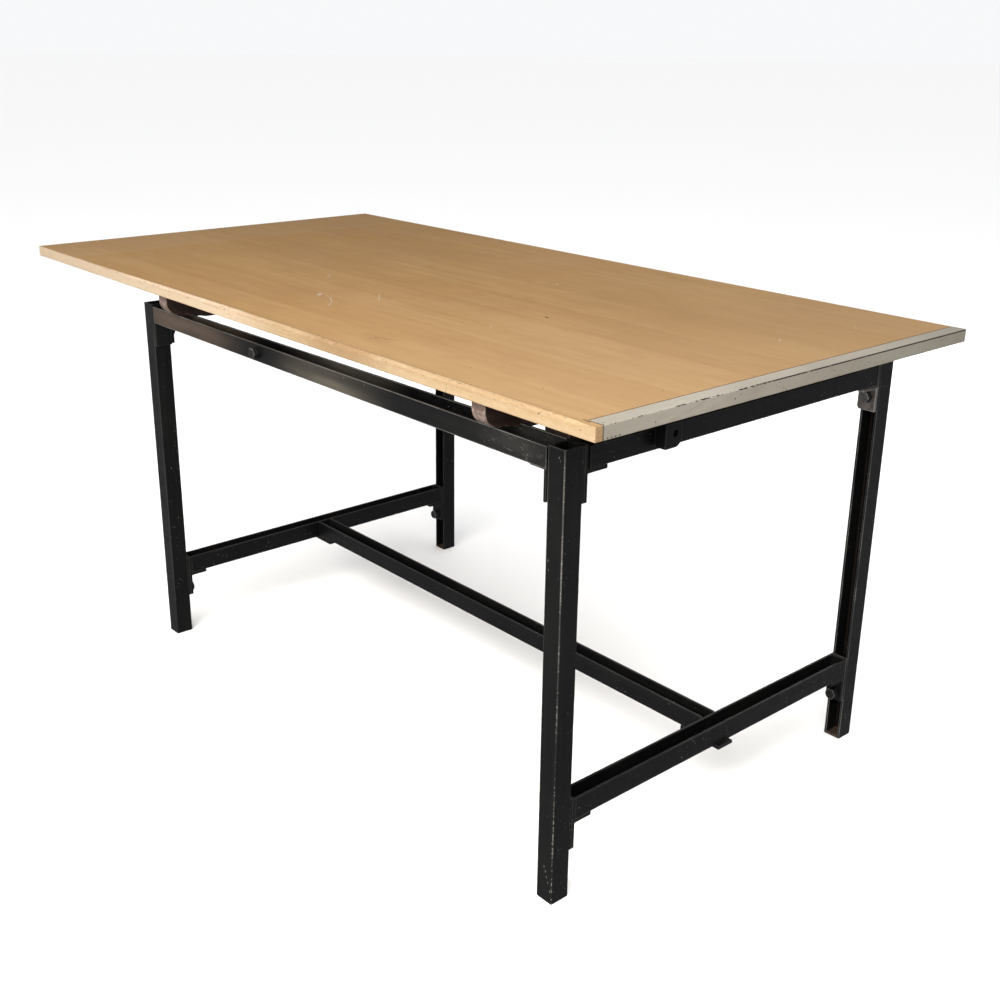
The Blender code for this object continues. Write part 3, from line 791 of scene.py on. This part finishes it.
def front_marks(look, handled, knock):
    """What only the front edging has: a worn limit to the veneer, stains, and a mask to return of
    its dented spots and of a painted shade line across its top by the steel strip.
    """
    dents_and_shade_line = look.stroke((0.5672, FRONT, 0.7785), (0.5698, FRONT, 0.787), 0.0007)
    dents_and_shade_line |= look.stroke((0.5698, FRONT, 0.787), (0.569, FRONT, 0.793), 0.0006)
    for x, z in ((-0.036, 0.7885), (-0.008, 0.786), (0.76, 0.7935), (0.838, 0.79)):
        dents_and_shade_line |= look.stroke((x, FRONT, z), (x + 0.001, FRONT, z), 0.0016)
    limit = look.y.within(-0.4335, -0.4322, 0.0008) * look.normal_z.band(0.5, 0.8)
    limit *= look.x.band(0.25, 0.45, 0.35, 0.9)
    limit *= handled.band(0.35, 0.6, 0.3, 1)
    look.tint(limit, (0.13, 0.066, 0.03))
    # Painted shade: a dark line across the edging's top beside the steel strip
    dents_and_shade_line |= look.stroke((0.8415, -0.4345, TOP), (0.8419, -0.4241, TOP), 0.001)
    corner = look.stroke((0.8335, -0.4262, TOP), (0.8425, -0.43, TOP), 0.0042, 0.9)
    corner *= knock.band(0.35, 0.62, 0.35, 1)
    look.tint(corner, (0.23, 0.12, 0.055), 0.75)
    blotch = look.noise((75, 60, 150), 4, 0.68, offset=(2, 6, 1))
    look.tint(blotch.band(0.52, 0.66, 0, 0.24), (0.47, 0.3, 0.14))
    look.tint(blotch.band(0.48, 0.36, 0, 0.16), (0.74, 0.59, 0.4))
    return dents_and_shade_line


def lipping(name, axis, facing):
    """Pale solid edging with a soft arris, handled and knocked along its edge."""
    look = Look(name, specular=0.38)
    across = look.z * 0.8 + (look.y if axis == "X" else look.x) * 0.6
    streak, fibre, pores, rings = wood_grain(look, axis, across, 1500, 26)
    light, dark = (0.605, 0.455, 0.278), (0.52, 0.358, 0.192)
    cloud = look.noise(along(axis, 14, 3.2), 3)
    mixed = streak - 0.5 + cloud
    look.colour = look.mix(mixed.band(0.28, 0.72), dark, light)
    look.tint(rings, (0.45, 0.28, 0.14), 0.08)
    look.tint(fibre.band(0.45, 0.75, 0, 0.16), (0.45, 0.29, 0.15))
    look.tint(pores, (0.34, 0.18, 0.08), 0.18)

    if facing == "front":
        paler = look.x.fall(-0.05, 0.16)
        look.tint(paler, (0.8, 0.64, 0.47), 0.65)
        ragged = look.x + (cloud - 0.5) * 0.12
        patina = ragged.band(0.12, 0.29) * ragged.fall(0.32, 0.54)
        look.tint(patina, (0.33, 0.185, 0.082), 0.62)

    end_normal = look.normal_x if axis == "X" else look.normal_y
    end = abs(end_normal).band(0.8, 0.95)
    rays = look.noise(620, 3, 0.6).band(0.42, 0.66)
    end_colour = look.mix(rays, (0.56, 0.34, 0.17), (0.36, 0.19, 0.085))
    look.tint(end, end_colour, 0.7)

    handled = look.noise(along(axis, 60, 9), 4, 0.62)
    touch = look.wear * 0.3 + handled
    look.tint(touch.band(0.66, 0.92, 0, 0.35), (0.33, 0.175, 0.075))
    knock = look.noise(along(axis, 420, 90), 3, 0.6, offset=(7, 3, 2))
    dent_spots_and_shade_line = (look.wear * 0.3 + knock).band(0.9, 0.96)
    dark_spot = look.noise(380, 1, offset=(3, 5, 8)).band(0.755, 0.78)
    dent_spots_and_shade_line = (dent_spots_and_shade_line | dark_spot) * 0.6
    if facing == "front":
        dent_spots_and_shade_line |= front_marks(look, handled, knock)
    # The dent mask also carries, on the front edging, a painted shade line beside the steel strip
    look.tint(dent_spots_and_shade_line, (0.075, 0.042, 0.022), 0.85)
    seam = abs(look.y).fall(0.4228, 0.4238) * look.normal_z.band(0.4, 0.9)
    look.tint(seam, (0.24, 0.125, 0.055), 0.45)
    rough = handled.band(0.3, 0.7, 0.42, 0.58)
    height = fibre * 0.6 + dent_spots_and_shade_line * -1.5
    normal = look.bump(height, 0.0001, 0.7)
    return look.done(rough, normal)


def underside():
    """The unfinished back of the board: a coarser backing veneer with stains."""
    look = Look("board_back_veneer", specular=0.25)
    streak, fibre, pores, rings = wood_grain(look, "X", look.y, 110, 30)
    mixed = (streak - 0.5) * 1.3 + look.noise((1.6, 3.5, 1), 3)
    look.colour = look.mix(mixed.band(0.25, 0.75), (0.3, 0.175, 0.09), (0.44, 0.285, 0.16))
    look.tint(rings, (0.24, 0.13, 0.06), 0.25)
    look.tint(fibre.band(0.42, 0.72, 0, 0.45), (0.23, 0.125, 0.06))
    look.tint(pores, (0.12, 0.065, 0.03), 0.4)
    stain = look.noise(5, 4, 0.6, offset=(9, 9, 1)).band(0.58, 0.64)
    look.tint(stain, (0.15, 0.085, 0.045), 0.22)
    normal = look.bump(fibre + pores * -0.6, 0.00025, 0.8)
    return look.done(streak.band(0.3, 0.7, 0.62, 0.8), normal)


def dark_wood(name):
    """Bearers and battens: hardwood stained a reddish dark brown and painted darker still as shade,
    with a painted lit colour on the bearers' noses, and edges rubbed pale with a painted highlight.
    """
    look = Look(name, specular=0.35)
    streak, fibre, pores, rings = wood_grain(look, "Y", look.x, 900, 20)
    look.colour = look.mix(streak.band(0.35, 0.68), (0.02, 0.0105, 0.008), (0.046, 0.025, 0.019))
    look.tint(rings, (0.016, 0.0075, 0.0055), 0.25)
    look.tint(fibre.band(0.45, 0.72, 0, 0.5), (0.015, 0.0072, 0.0052))
    look.tint(pores, (0.008, 0.004, 0.003), 0.6)
    # Painted light: the bearers' noses, facing front and back, get a paler lit copy of the wood
    outward = abs(look.normal_y).band(0.3, 0.75)
    nose = outward * abs(look.y).band(0.385, 0.4)
    lit_nose_colour = look.mix(streak.band(0.3, 0.7), (0.185, 0.122, 0.096), (0.275, 0.192, 0.158))
    look.tint(nose, lit_nose_colour, 0.92)
    blotch = look.noise(90, 4, 0.6)
    # Rubbed pale edges with a painted highlight, strongest on the lit noses
    rub_and_highlight = (look.wear * 0.55 + blotch * 0.8).band(0.9, 1.02)
    rub_and_highlight *= 0.25 + nose * 0.55
    look.tint(rub_and_highlight, (0.42, 0.32, 0.28))
    normal = look.bump(fibre + pores * -0.8, 0.00022, 0.8)
    return look.done(blotch.band(0.3, 0.7, 0.45, 0.65), normal)


worn_glinting_paint = paint("frame_paint_worn_glinting", "Z", worn=1.7)
corner_low, corner_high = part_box("leg_front_right")
paints = {axis: paint(f"frame_paint_{axis.lower()}", axis, worn=0.35) for axis in AXES}
# The front rail's paint, with a painted reflection and real scuffs
sheen_and_scuffs_paint = paint("frame_paint_sheen_and_scuffs", "X", worn=1.7, rubbed=True)
corner_paint = paint("frame_paint_corner", "Z", worn=1.7,
                     hollow=(corner_low.x + 0.0025, corner_high.x + 0.01,
                             corner_low.y + 0.0025, corner_high.y - 0.0012))
plate_steel = bare_plate("bracket_bare_steel", "Z")
foot_rust = rusty_plate()
black_steel = fastener("bolt_black_oxide", (0.011, 0.011, 0.011), (0.026, 0.025, 0.024),
                       (0.24, 0.23, 0.22), 0.35, 0.74)
bright_steel = fastener("nut_zinc", (0.26, 0.25, 0.23), (0.42, 0.41, 0.38), (0.62, 0.61, 0.58),
                        0.80, 0.70)
# Its sides colour paints shade on the flanks of the heads
grey_steel = fastener("bolt_grey_steel", (0.105, 0.100, 0.097), (0.19, 0.182, 0.176),
                      (0.45, 0.44, 0.42), 0.35, 0.78, sides=(0.014, 0.013, 0.015))
screw_steel = fastener("screw_steel", (0.15, 0.14, 0.135), (0.26, 0.25, 0.24),
                       (0.60, 0.58, 0.55), 0.60, 0.72)
strip_enamel = strip_paint()
board_veneer = veneer()
board_back = underside()
edging = {
    "front": lipping("lipping_front_wood", "X", "front"),
    "back": lipping("lipping_back_wood", "X", "back"),
    "left": lipping("lipping_left_wood", "Y", "left"),
}
stained_and_shaded_wood = dark_wood("bearer_stained_shaded_wood")


# ---------------------------------------------------------------- board

def front_arris(x):
    """Radius of the top front arris at a place along the board, rubbed round by arms."""
    rise = min(1, max(0, (x + 0.62) / 0.42))
    fall = min(1, max(0, (0.846 - x) / 0.020))
    worn = min(rise * rise * (3 - 2 * rise), fall * fall * (3 - 2 * fall))
    return 0.0012 + (0.0056 + rng.uniform(-0.0007, 0.0007)) * worn


def make_front_edging():
    low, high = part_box("lipping_front")
    edge, fade = 0.0008, 0.003

    def section(x):
        return [(low.y, low.z, 0.0012, 3), (high.y + GAP, low.z, 0.0002, 3),
                (high.y + GAP, high.z, TIGHT, 3), (low.y, high.z, front_arris(x), 10)]

    stations = end_stations(low.x, 1, section, edge, fade, 0.004 - edge)
    x = -0.62
    while x < 0.80:
        stations.append((x, section(x), 0, 0))
        x += rng.uniform(0.018, 0.045)
    stations += [(x, section(x), 0, 0) for x in (0.818, 0.826, 0.831, 0.836, 0.841, 0.846, 0.852)]
    stations += end_stations(high.x, -1, section, edge, fade, 0.004 - edge)
    shape = Shape()
    for face in shape.loft("X", stations, edge, fade):
        face.material_index = int(face.normal.z > 0.985)
    finish(shape, "front_edging", [edging["front"], board_veneer], ["lipping_front"])


def stepped(low, high, edge, top_edge):
    """A section of the board along X, rebated for the steel strip."""
    x_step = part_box("edge_strip")[0].x - GAP
    z_step = high.z - STRIP - GAP
    return [(low.x, low.z, edge), (high.x, low.z, edge), (high.x, z_step, 0.0004),
            (x_step, z_step, 0.0004), (x_step, high.z, 0.0005), (low.x, high.z, top_edge)]


def make_board():
    low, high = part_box("board_panel")
    shape = Shape()
    corners = stepped(low, high, 0.0004, TIGHT)
    for face in shape.sweep("Y", corners, low.y, high.y, TIGHT, 0.003, 0.001, 0):
        face.material_index = int(face.normal.z < -0.5)
    finish(shape, "drawing_surface", [board_veneer, board_back], ["board_panel"])
    make_front_edging()

    low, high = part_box("lipping_back")
    back = Shape()
    corners = stepped(low, high, 0.0010, 0.0014)
    back_faces = back.sweep("Y", corners, low.y - GAP, high.y, 0.0010, 0.003, 0.003, 0.5)
    low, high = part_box("lipping_left")
    left = Shape()
    corners = [(low.x, low.z, 0.0012), (high.x + GAP, low.z, 0.0002),
               (high.x + GAP, high.z, TIGHT), (low.x, high.z, 0.0014)]
    left_faces = left.sweep("Y", corners, low.y, high.y, TIGHT, 0.003, 0.001, 0)
    for place_name, shape, faces in (("back", back, back_faces), ("left", left, left_faces)):
        for face in faces:
            face.material_index = int(face.normal.z > 0.9)
        finish(shape, f"{place_name}_edging", [edging[place_name], board_veneer],
               [f"lipping_{place_name}"])

    low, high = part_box("edge_strip")
    corners = [(low.x, high.z - STRIP, 0.0004), (high.x - STRIP, high.z - STRIP, 0.0008),
               (high.x - STRIP, low.z, 0.0004), (high.x, low.z, 0.0008), (high.x, high.z, 0.0016),
               (low.x, high.z, 0.0006)]
    edge, fade = 0.0005, 0.0018
    stations = end_stations(low.y, 1, lambda _: corners, edge, 0.0003, fade)
    for angle in range(0, 91, 15):
        curl = 1 - cos(radians(angle))
        bent = [(u - (STRIP_END_RADIUS * curl if u > low.x + 0.01 else 0),
                 v + (STRIP_CORNER_RADIUS * curl if v < low.z + 0.001 else 0), radius)
                for u, v, radius in corners]
        y = high.y - STRIP_CORNER_RADIUS * (1 - sin(radians(angle)))
        stations.append((y, bent, 0, angle / 90))
    stations.append((high.y, bent, 0.0008, 0))
    shape = Shape()
    shape.loft("Y", stations, edge, fade)
    finish(shape, "steel_edge_strip", strip_enamel, ["edge_strip"])


def add_screws(name, x, z, places):
    """Countersunk heads seen from below, a little under the surface of the wood."""
    shape = Shape()
    rings = [(z + 0.0022, 0.0014, 0.2), (z + 0.0004, SCREW_RADIUS - 0.0002, 0.6),
             (z + 0.0001, SCREW_RADIUS, 1), (z + 0.0002, SCREW_RADIUS - 0.0007, 0.3)]
    for y in places:
        shape.lathe("Z", x, y, rings, 24)
    finish(shape, name, screw_steel)


def make_bearers():
    for side, _ in SIDES:
        name = f"bearer_{side}"
        low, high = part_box(name)
        under, nose = low.z - BEARER_DROP, low.z + NOSE_LIFT
        half = [(low.y, high.z, 0.0008), (low.y, nose, NOSE_RADIUS), (-0.386, nose, 0.003),
                (-0.340, under, 0.004)]
        shape = Shape()
        shape.sweep("X", half + [(-y, z, radius) for y, z, radius in half[::-1]], low.x, high.x,
                    0.0012, 0.003, 0.003)
        finish(shape, f"{name}_wood", stained_and_shaded_wood, [name])
        add_screws(f"{name}_screws", (low.x + high.x) / 2, under, (-0.31, -0.11, 0.11, 0.31))

        name = f"batten_{side}"
        low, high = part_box(name)
        shape = Shape()
        shape.box((low.x, high.x), (low.y, high.y), (low.z, high.z), "Y", 0.0014, 0.001, 0.003)
        finish(shape, f"{name}_wood", stained_and_shaded_wood, [name])
        add_screws(f"{name}_screws", (low.x + high.x) / 2, low.z, (-0.30, -0.10, 0.10, 0.30))


# ---------------------------------------------------------------- frame

def make_legs():
    looks = {("front", "right"): corner_paint, ("back", "right"): worn_glinting_paint}
    for end, back, side, _ in CORNERS:
        name = f"leg_{end}_{side}"
        low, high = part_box(name)
        y_web, y_pad = (high.y, low.y) if back > 0 else (low.y, high.y)
        y_open = y_web - back * LEG_DEPTH
        shape = Shape()
        shape.sweep("Z", channel(low.x, high.x, y_web, y_open), low.z, high.z, 0.0004)
        for level in LEVELS:
            bottom, top = [corner.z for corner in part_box(f"{level}_bracket_{end}_{side}")]
            shape.box((low.x, high.x), (y_pad, y_open + back * PAD_WELD), (bottom, top), "Z")
            for x in (low.x + 0.0004, high.x - 0.0004):
                shape.bead((x, y_open - back * 0.0002, bottom + 0.006),
                           (x, y_open - back * 0.0002, top - 0.004), 0.0006)
            shape.bead((low.x + WALL, y_open, bottom), (high.x - WALL, y_open, bottom), 0.0012)
        finish(shape, f"{name}_channel", looks.get((end, side), paints["Z"]), [name])

        name = f"foot_plate_{end}_{side}"
        low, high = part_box(name)
        shape = Shape()
        shape.box((low.x, high.x), (low.y, high.y), (low.z, high.z), "Z", edge=0.0006)
        finish(shape, f"{name}_steel", foot_rust, [name])


def make_rails():
    low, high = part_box("rail_front")

    def knocked(x):
        """The front rail's section: its inner flange leans in and stands low at the left end."""
        skew = (x - (low.x + high.x) / 2) / ((high.x - low.x) / 2)
        corners = channel(low.y, high.y + FLANGE_LEAN * skew, low.z, high.z)
        for i in (3, 4):
            u, v, radius = corners[i]
            corners[i] = (u, v + FLANGE_RISE * skew, radius)
        return corners

    stations = []
    for end, way in ((low.x, 1), (high.x, -1)):
        corners = knocked(end)
        stations += end_stations(end, way, lambda _: corners, TIP, 0.6 * TIP, FADE - TIP)
    shape = Shape()
    shape.loft("X", stations, TIP)
    finish(shape, "rail_front_channel", sheen_and_scuffs_paint, ["rail_front"])
    for name in ("rail_back", "rail_left", "rail_right", "stretcher_left", "stretcher_right",
                 "stretcher_long"):
        low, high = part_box(name)
        axis, u = ("Y", 0) if name.endswith(("left", "right")) else ("X", 1)
        shape = Shape()
        shape.sweep(axis, channel(low[u], high[u], low.z, high.z), low[1 - u], high[1 - u])
        finish(shape, f"{name}_channel", paints[axis], [name])


def make_brackets():
    for level in LEVELS:
        for end, back, side, _ in CORNERS:
            name = f"{level}_bracket_{end}_{side}"
            low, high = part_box(name)
            y_pad, y_tip = (high.y, low.y) if back > 0 else (low.y, high.y)
            y_face = y_pad - back * BRACKET
            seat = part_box(f"{level}_{side}")[0].z - GAP
            under = seat - ARM
            sharp, soft = 0.0006, 0.0012
            corners = [(y_pad, low.z, sharp), (y_face, low.z, sharp), (y_face, under, soft),
                       (y_tip, under, sharp), (y_tip, seat, sharp), (y_face, seat, soft),
                       (y_face, high.z, sharp), (y_pad, high.z, sharp)]
            shape = Shape()
            shape.sweep("X", corners, low.x, high.x, fade=0.0012, cap_fade=0.0010)
            shape.bead((low.x + 0.003, y_face - back * 0.0004, under - 0.0004),
                       (high.x - 0.003, y_face - back * 0.0004, under - 0.0004), 0.0021)
            bare = (level, end, side) == BARE_BRACKET
            finish(shape, f"{name}_plate", plate_steel if bare else paints["Z"], [name])


def make_end_brackets():
    for end, back, side, inward in CORNERS:
        name = f"end_bracket_{end}_{side}"
        low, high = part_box(name)
        x_leg, x_tip = (low.x, high.x) if inward > 0 else (high.x, low.x)
        x_pad = x_leg + inward * (END_PAD - GAP)
        x_plate = x_pad + inward * END_PLATE
        y_in, y_out = (low.y, high.y) if back > 0 else (high.y, low.y)
        y_pad = y_in + back * END_PAD_INSET
        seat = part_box(f"rail_{end}")[0].z - GAP
        shape = Shape()
        shape.box((x_leg, x_pad), (y_pad, y_out - back * END_PAD_INSET), (low.z, high.z), "Z")
        shape.box((x_pad - inward * 0.0004, x_plate), (y_in, y_out), (low.z, seat), "Z", 0.0007)
        shape.box((x_plate - inward * 0.0004, x_tip), (y_pad, y_pad + back * END_ARM_WIDTH),
                  (seat - ARM, seat), "X", 0.0007)
        x_seam, z_seam = x_plate + inward * 0.0004, seat - ARM - 0.0004
        shape.bead((x_seam, y_pad + back * 0.002, z_seam),
                   (x_seam, y_pad + back * (END_ARM_WIDTH - 0.002), z_seam), 0.0019)
        finish(shape, f"{name}_plates", paints["Z"], [name])


def make_tee_plates():
    radius = 0.0007
    for side, inward in SIDES:
        name = f"tee_plate_{side}"
        low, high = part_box(name)
        x_out, x_in = (low.x, high.x) if inward > 0 else (high.x, low.x)
        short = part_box(f"stretcher_{side}")
        step = short[0].z - GAP
        x_step = short[max(inward, 0)].x + inward * GAP
        corners = [(x_out, low.z, radius), (x_in, low.z, radius), (x_in, high.z, radius),
                   (x_step, high.z, radius), (x_step, step, radius), (x_out, step, radius)]
        shape = Shape()
        shape.sweep("Y", corners, low.y, high.y, fade=0.0012, cap_fade=0.0012)
        finish(shape, f"{name}_plate", paints["X"], [name])


def ray_to_outline(points, centre, angle):
    """Where a ray from the centre leaves an outline."""
    way = Vector((cos(angle), sin(angle)))
    far = 0
    for a, b in zip(points, points[1:] + points[:1]):
        edge, off = b - a, a - centre
        area = way.x * edge.y - way.y * edge.x
        if abs(area) > 1e-12 and -1e-6 <= (off.x * way.y - off.y * way.x) / area <= 1 + 1e-6:
            far = max(far, (off.x * edge.y - off.y * edge.x) / area)
    return centre + way * far


def make_lug():
    """The pierced lug: faces run in rings from its outline to its hole."""
    low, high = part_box("rail_lug")
    centre = Vector(LUG_HOLE)
    small = 0.0009
    angles = turns(72)
    for u, v in ((low.y, low.z), (high.y, high.z), (low.y, high.z)):
        spoke = Vector((u, v)) - centre
        angles.append(Vector((1, 0)).angle_signed(spoke) * -1 % (2 * pi))
    angles.sort()
    shape = Shape()
    rings = []
    # Place along X, height of the bottom, inset, wear and grime
    for x, bottom, inset, wear, grime in (
            (low.x, low.z + LUG_CHAMFER, 0, 0, 0.9), (low.x + LUG_CHAMFER, low.z, 0, 0.3, 0.2),
            (high.x - 0.0032, low.z, 0, 0, 0), (high.x - 0.0009, low.z, 0, 1, 0),
            (high.x - 0.0003, low.z, 0.0003, 1, 0), (high.x, low.z, 0.0009, 1, 0),
            (high.x, low.z, 0.0030, 0, 0)):
        corners = [(low.y, bottom, small), (high.y, bottom, LUG_CORNER), (high.y, high.z, small),
                   (low.y, high.z, small)]
        rim = [point for point, _, _ in outline(corners, inset)]
        rings.append([shape.vert((x, *ray_to_outline(rim, centre, a)), wear, grime)
                      for a in angles])
    for x, wider, wear, grime in ((high.x, 0.0016, 0, 0), (high.x, 0.0005, 1, 0),
                                  (high.x - 0.0005, 0, 0.9, 0), (high.x - 0.004, 0, 0, 0.6),
                                  (low.x, 0, 0, 1)):
        radius = LUG_HOLE_RADIUS + wider
        rings.append([shape.vert((x, centre.x + radius * cos(a), centre.y + radius * sin(a)), wear,
                                 grime) for a in angles])
    shape.skin(rings, closed=True)
    x_seam, y_seam = low.x + 0.0009, low.y + 0.0003
    shape.bead((x_seam, y_seam, low.z + 0.005), (x_seam, y_seam, high.z - 0.010), 0.0009)
    finish(shape, "pierced_lug", paints["X"], ["rail_lug"])


# ---------------------------------------------------------------- fasteners

def span(node, axis):
    """The ends of a CAD node along an axis, and its middle across it."""
    low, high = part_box(node)
    i = AXES[axis]
    return low[i], high[i], [(low[k] + high[k]) / 2 for k in range(3) if k != i]


def bolt(node, axis, sizes, look, head_low=False, shorter=0):
    """A hexagon-headed bolt that fills the box of its CAD node, with a chamfered, threaded end."""
    size, flats, head_height, pitch = sizes
    low, high, middle = span(node, axis)
    head_end, tip = (low, high) if head_low else (high, low)
    way = 1 if head_end > tip else -1
    seat = head_end - way * head_height
    head_end -= way * shorter
    shape = Shape()
    rings = [(seat, size / 2 * 0.8, 0), *hexagon_head(flats, seat, head_end, ("high",)),
             (head_end, flats * 0.30, 0.1), (head_end - way * 0.0003, flats * 0.27, 0)]
    shape.lathe(axis, *middle, rings, HEX_SIDES)
    shape.thread(axis, *middle, size / 2 - 0.0002, seat + way * 0.0004, tip, pitch)
    finish(shape, f"{node}_hex", look, [node])


def nut(node):
    size, flats = BOLT[:2]
    low, high, middle = span(node, "Y")
    bore = size / 2 + 0.0002
    shape = Shape()
    rings = [(low + 0.0008, bore, 0), (low + 0.0001, bore + 0.0006, 0.3),
             *hexagon_head(flats, low, high, ("low", "high")),
             (high - 0.0001, bore + 0.0006, 0.3), (high - 0.0008, bore, 0)]
    shape.lathe("Y", *middle, rings, HEX_SIDES, closed=True)
    finish(shape, f"{node}_hex", bright_steel, [node])


def make_fasteners():
    for level in LEVELS:
        for end, back, side, _ in CORNERS:
            bare = (level, end, side) == BARE_BRACKET
            # The front bolts' heads stay out of sight behind their legs
            bolt(f"{level}_bolt_{end}_{side}", "Y", BOLT, grey_steel if bare else black_steel,
                 head_low=back > 0, shorter=0 if back > 0 else 0.005)
            nut(f"{level}_nut_{end}_{side}")
    for side, _ in SIDES:
        bolt(f"tee_bolt_{side}", "Z", TEE_BOLT, black_steel)
    bolt("stop_bolt", "Y", STOP_BOLT, black_steel, head_low=True)
    nut("stop_bolt_nut")


# ---------------------------------------------------------------- stage

def area_light(name, at, aim, size, power, colour):
    data = bpy.data.lights.new(name, "AREA")
    data.shape = "RECTANGLE"
    data.size, data.size_y = size
    data.energy = power
    data.color = colour
    obj = add_object(name, data)
    obj.rotation_euler = (Vector(aim) - Vector(at)).to_track_quat("-Z", "Y").to_euler()
    obj.location = at


def make_stage():
    bm = bmesh.new()
    bmesh.ops.create_circle(bm, cap_ends=True, segments=96, radius=60)
    mesh = bpy.data.meshes.new("floor")
    bm.to_mesh(mesh)
    bm.free()
    ground = add_object("floor", mesh)
    look = Look("floor_pale", specular=0.1)
    look.colour = (0.86, 0.86, 0.86)
    mesh.materials.append(look.done(0.9))
    ground.visible_diffuse = False
    ground.visible_glossy = False

    world = bpy.data.worlds.new("soft_room")
    bpy.context.scene.world = world
    world.use_nodes = True
    tree = world.node_tree
    background = tree.nodes["Background"]
    background.inputs["Color"].default_value = (0.985, 0.99, 1, 1)
    path = tree.nodes.new("ShaderNodeLightPath")
    strength = tree.nodes.new("ShaderNodeMapRange")
    strength.inputs["To Min"].default_value = 0.30
    strength.inputs["To Max"].default_value = 0.95
    tree.links.new(path.outputs["Is Camera Ray"], strength.inputs["Value"])
    tree.links.new(strength.outputs[0], background.inputs["Strength"])

    sun = bpy.data.lights.new("floor_wash", "SUN")
    sun.energy = 2.55
    sun.angle = radians(80)
    lit = bpy.data.collections.new("lit_by_floor_wash")
    lit.objects.link(ground)
    add_object("floor_wash", sun).light_linking.receiver_collection = lit

    area_light("key", (1.4, -2.3, 2.2), (0.3, 0.0, 0.7), (3.4, 2.2), 150, (1, 0.97, 0.93))
    area_light("left_fill", (-2.6, -2.4, 1.2), (-0.1, 0.0, 0.5), (1.6, 1.4), 8, (1, 0.97, 0.93))
    area_light("back_fill", (-1.2, 3.4, 0.5), (0.0, 0.4, 0.4), (2.4, 0.5), 30, (0.95, 0.98, 1))


def make_camera():
    data = bpy.data.cameras.new("camera")
    data.sensor_width = 36
    data.lens = 45.542
    data.shift_x = 0.0048
    data.shift_y = -0.0217
    data.clip_end = 200
    camera = add_object("camera", data)
    turn = Matrix.Rotation(radians(48.826), 4, "Z") @ Matrix.Rotation(radians(70.397), 4, "X")
    turn = turn @ Matrix.Rotation(radians(0.701), 4, "Z")
    camera.matrix_world = Matrix.Translation((1.91335, -1.52139, 1.26605)) @ turn
    bpy.context.scene.camera = camera
    bpy.context.scene.view_settings.view_transform = "Standard"


make_board()
make_bearers()
make_legs()
make_rails()
make_brackets()
make_end_brackets()
make_tee_plates()
make_lug()
make_fasteners()
make_stage()
make_camera()

bpy.context.view_layer.update()
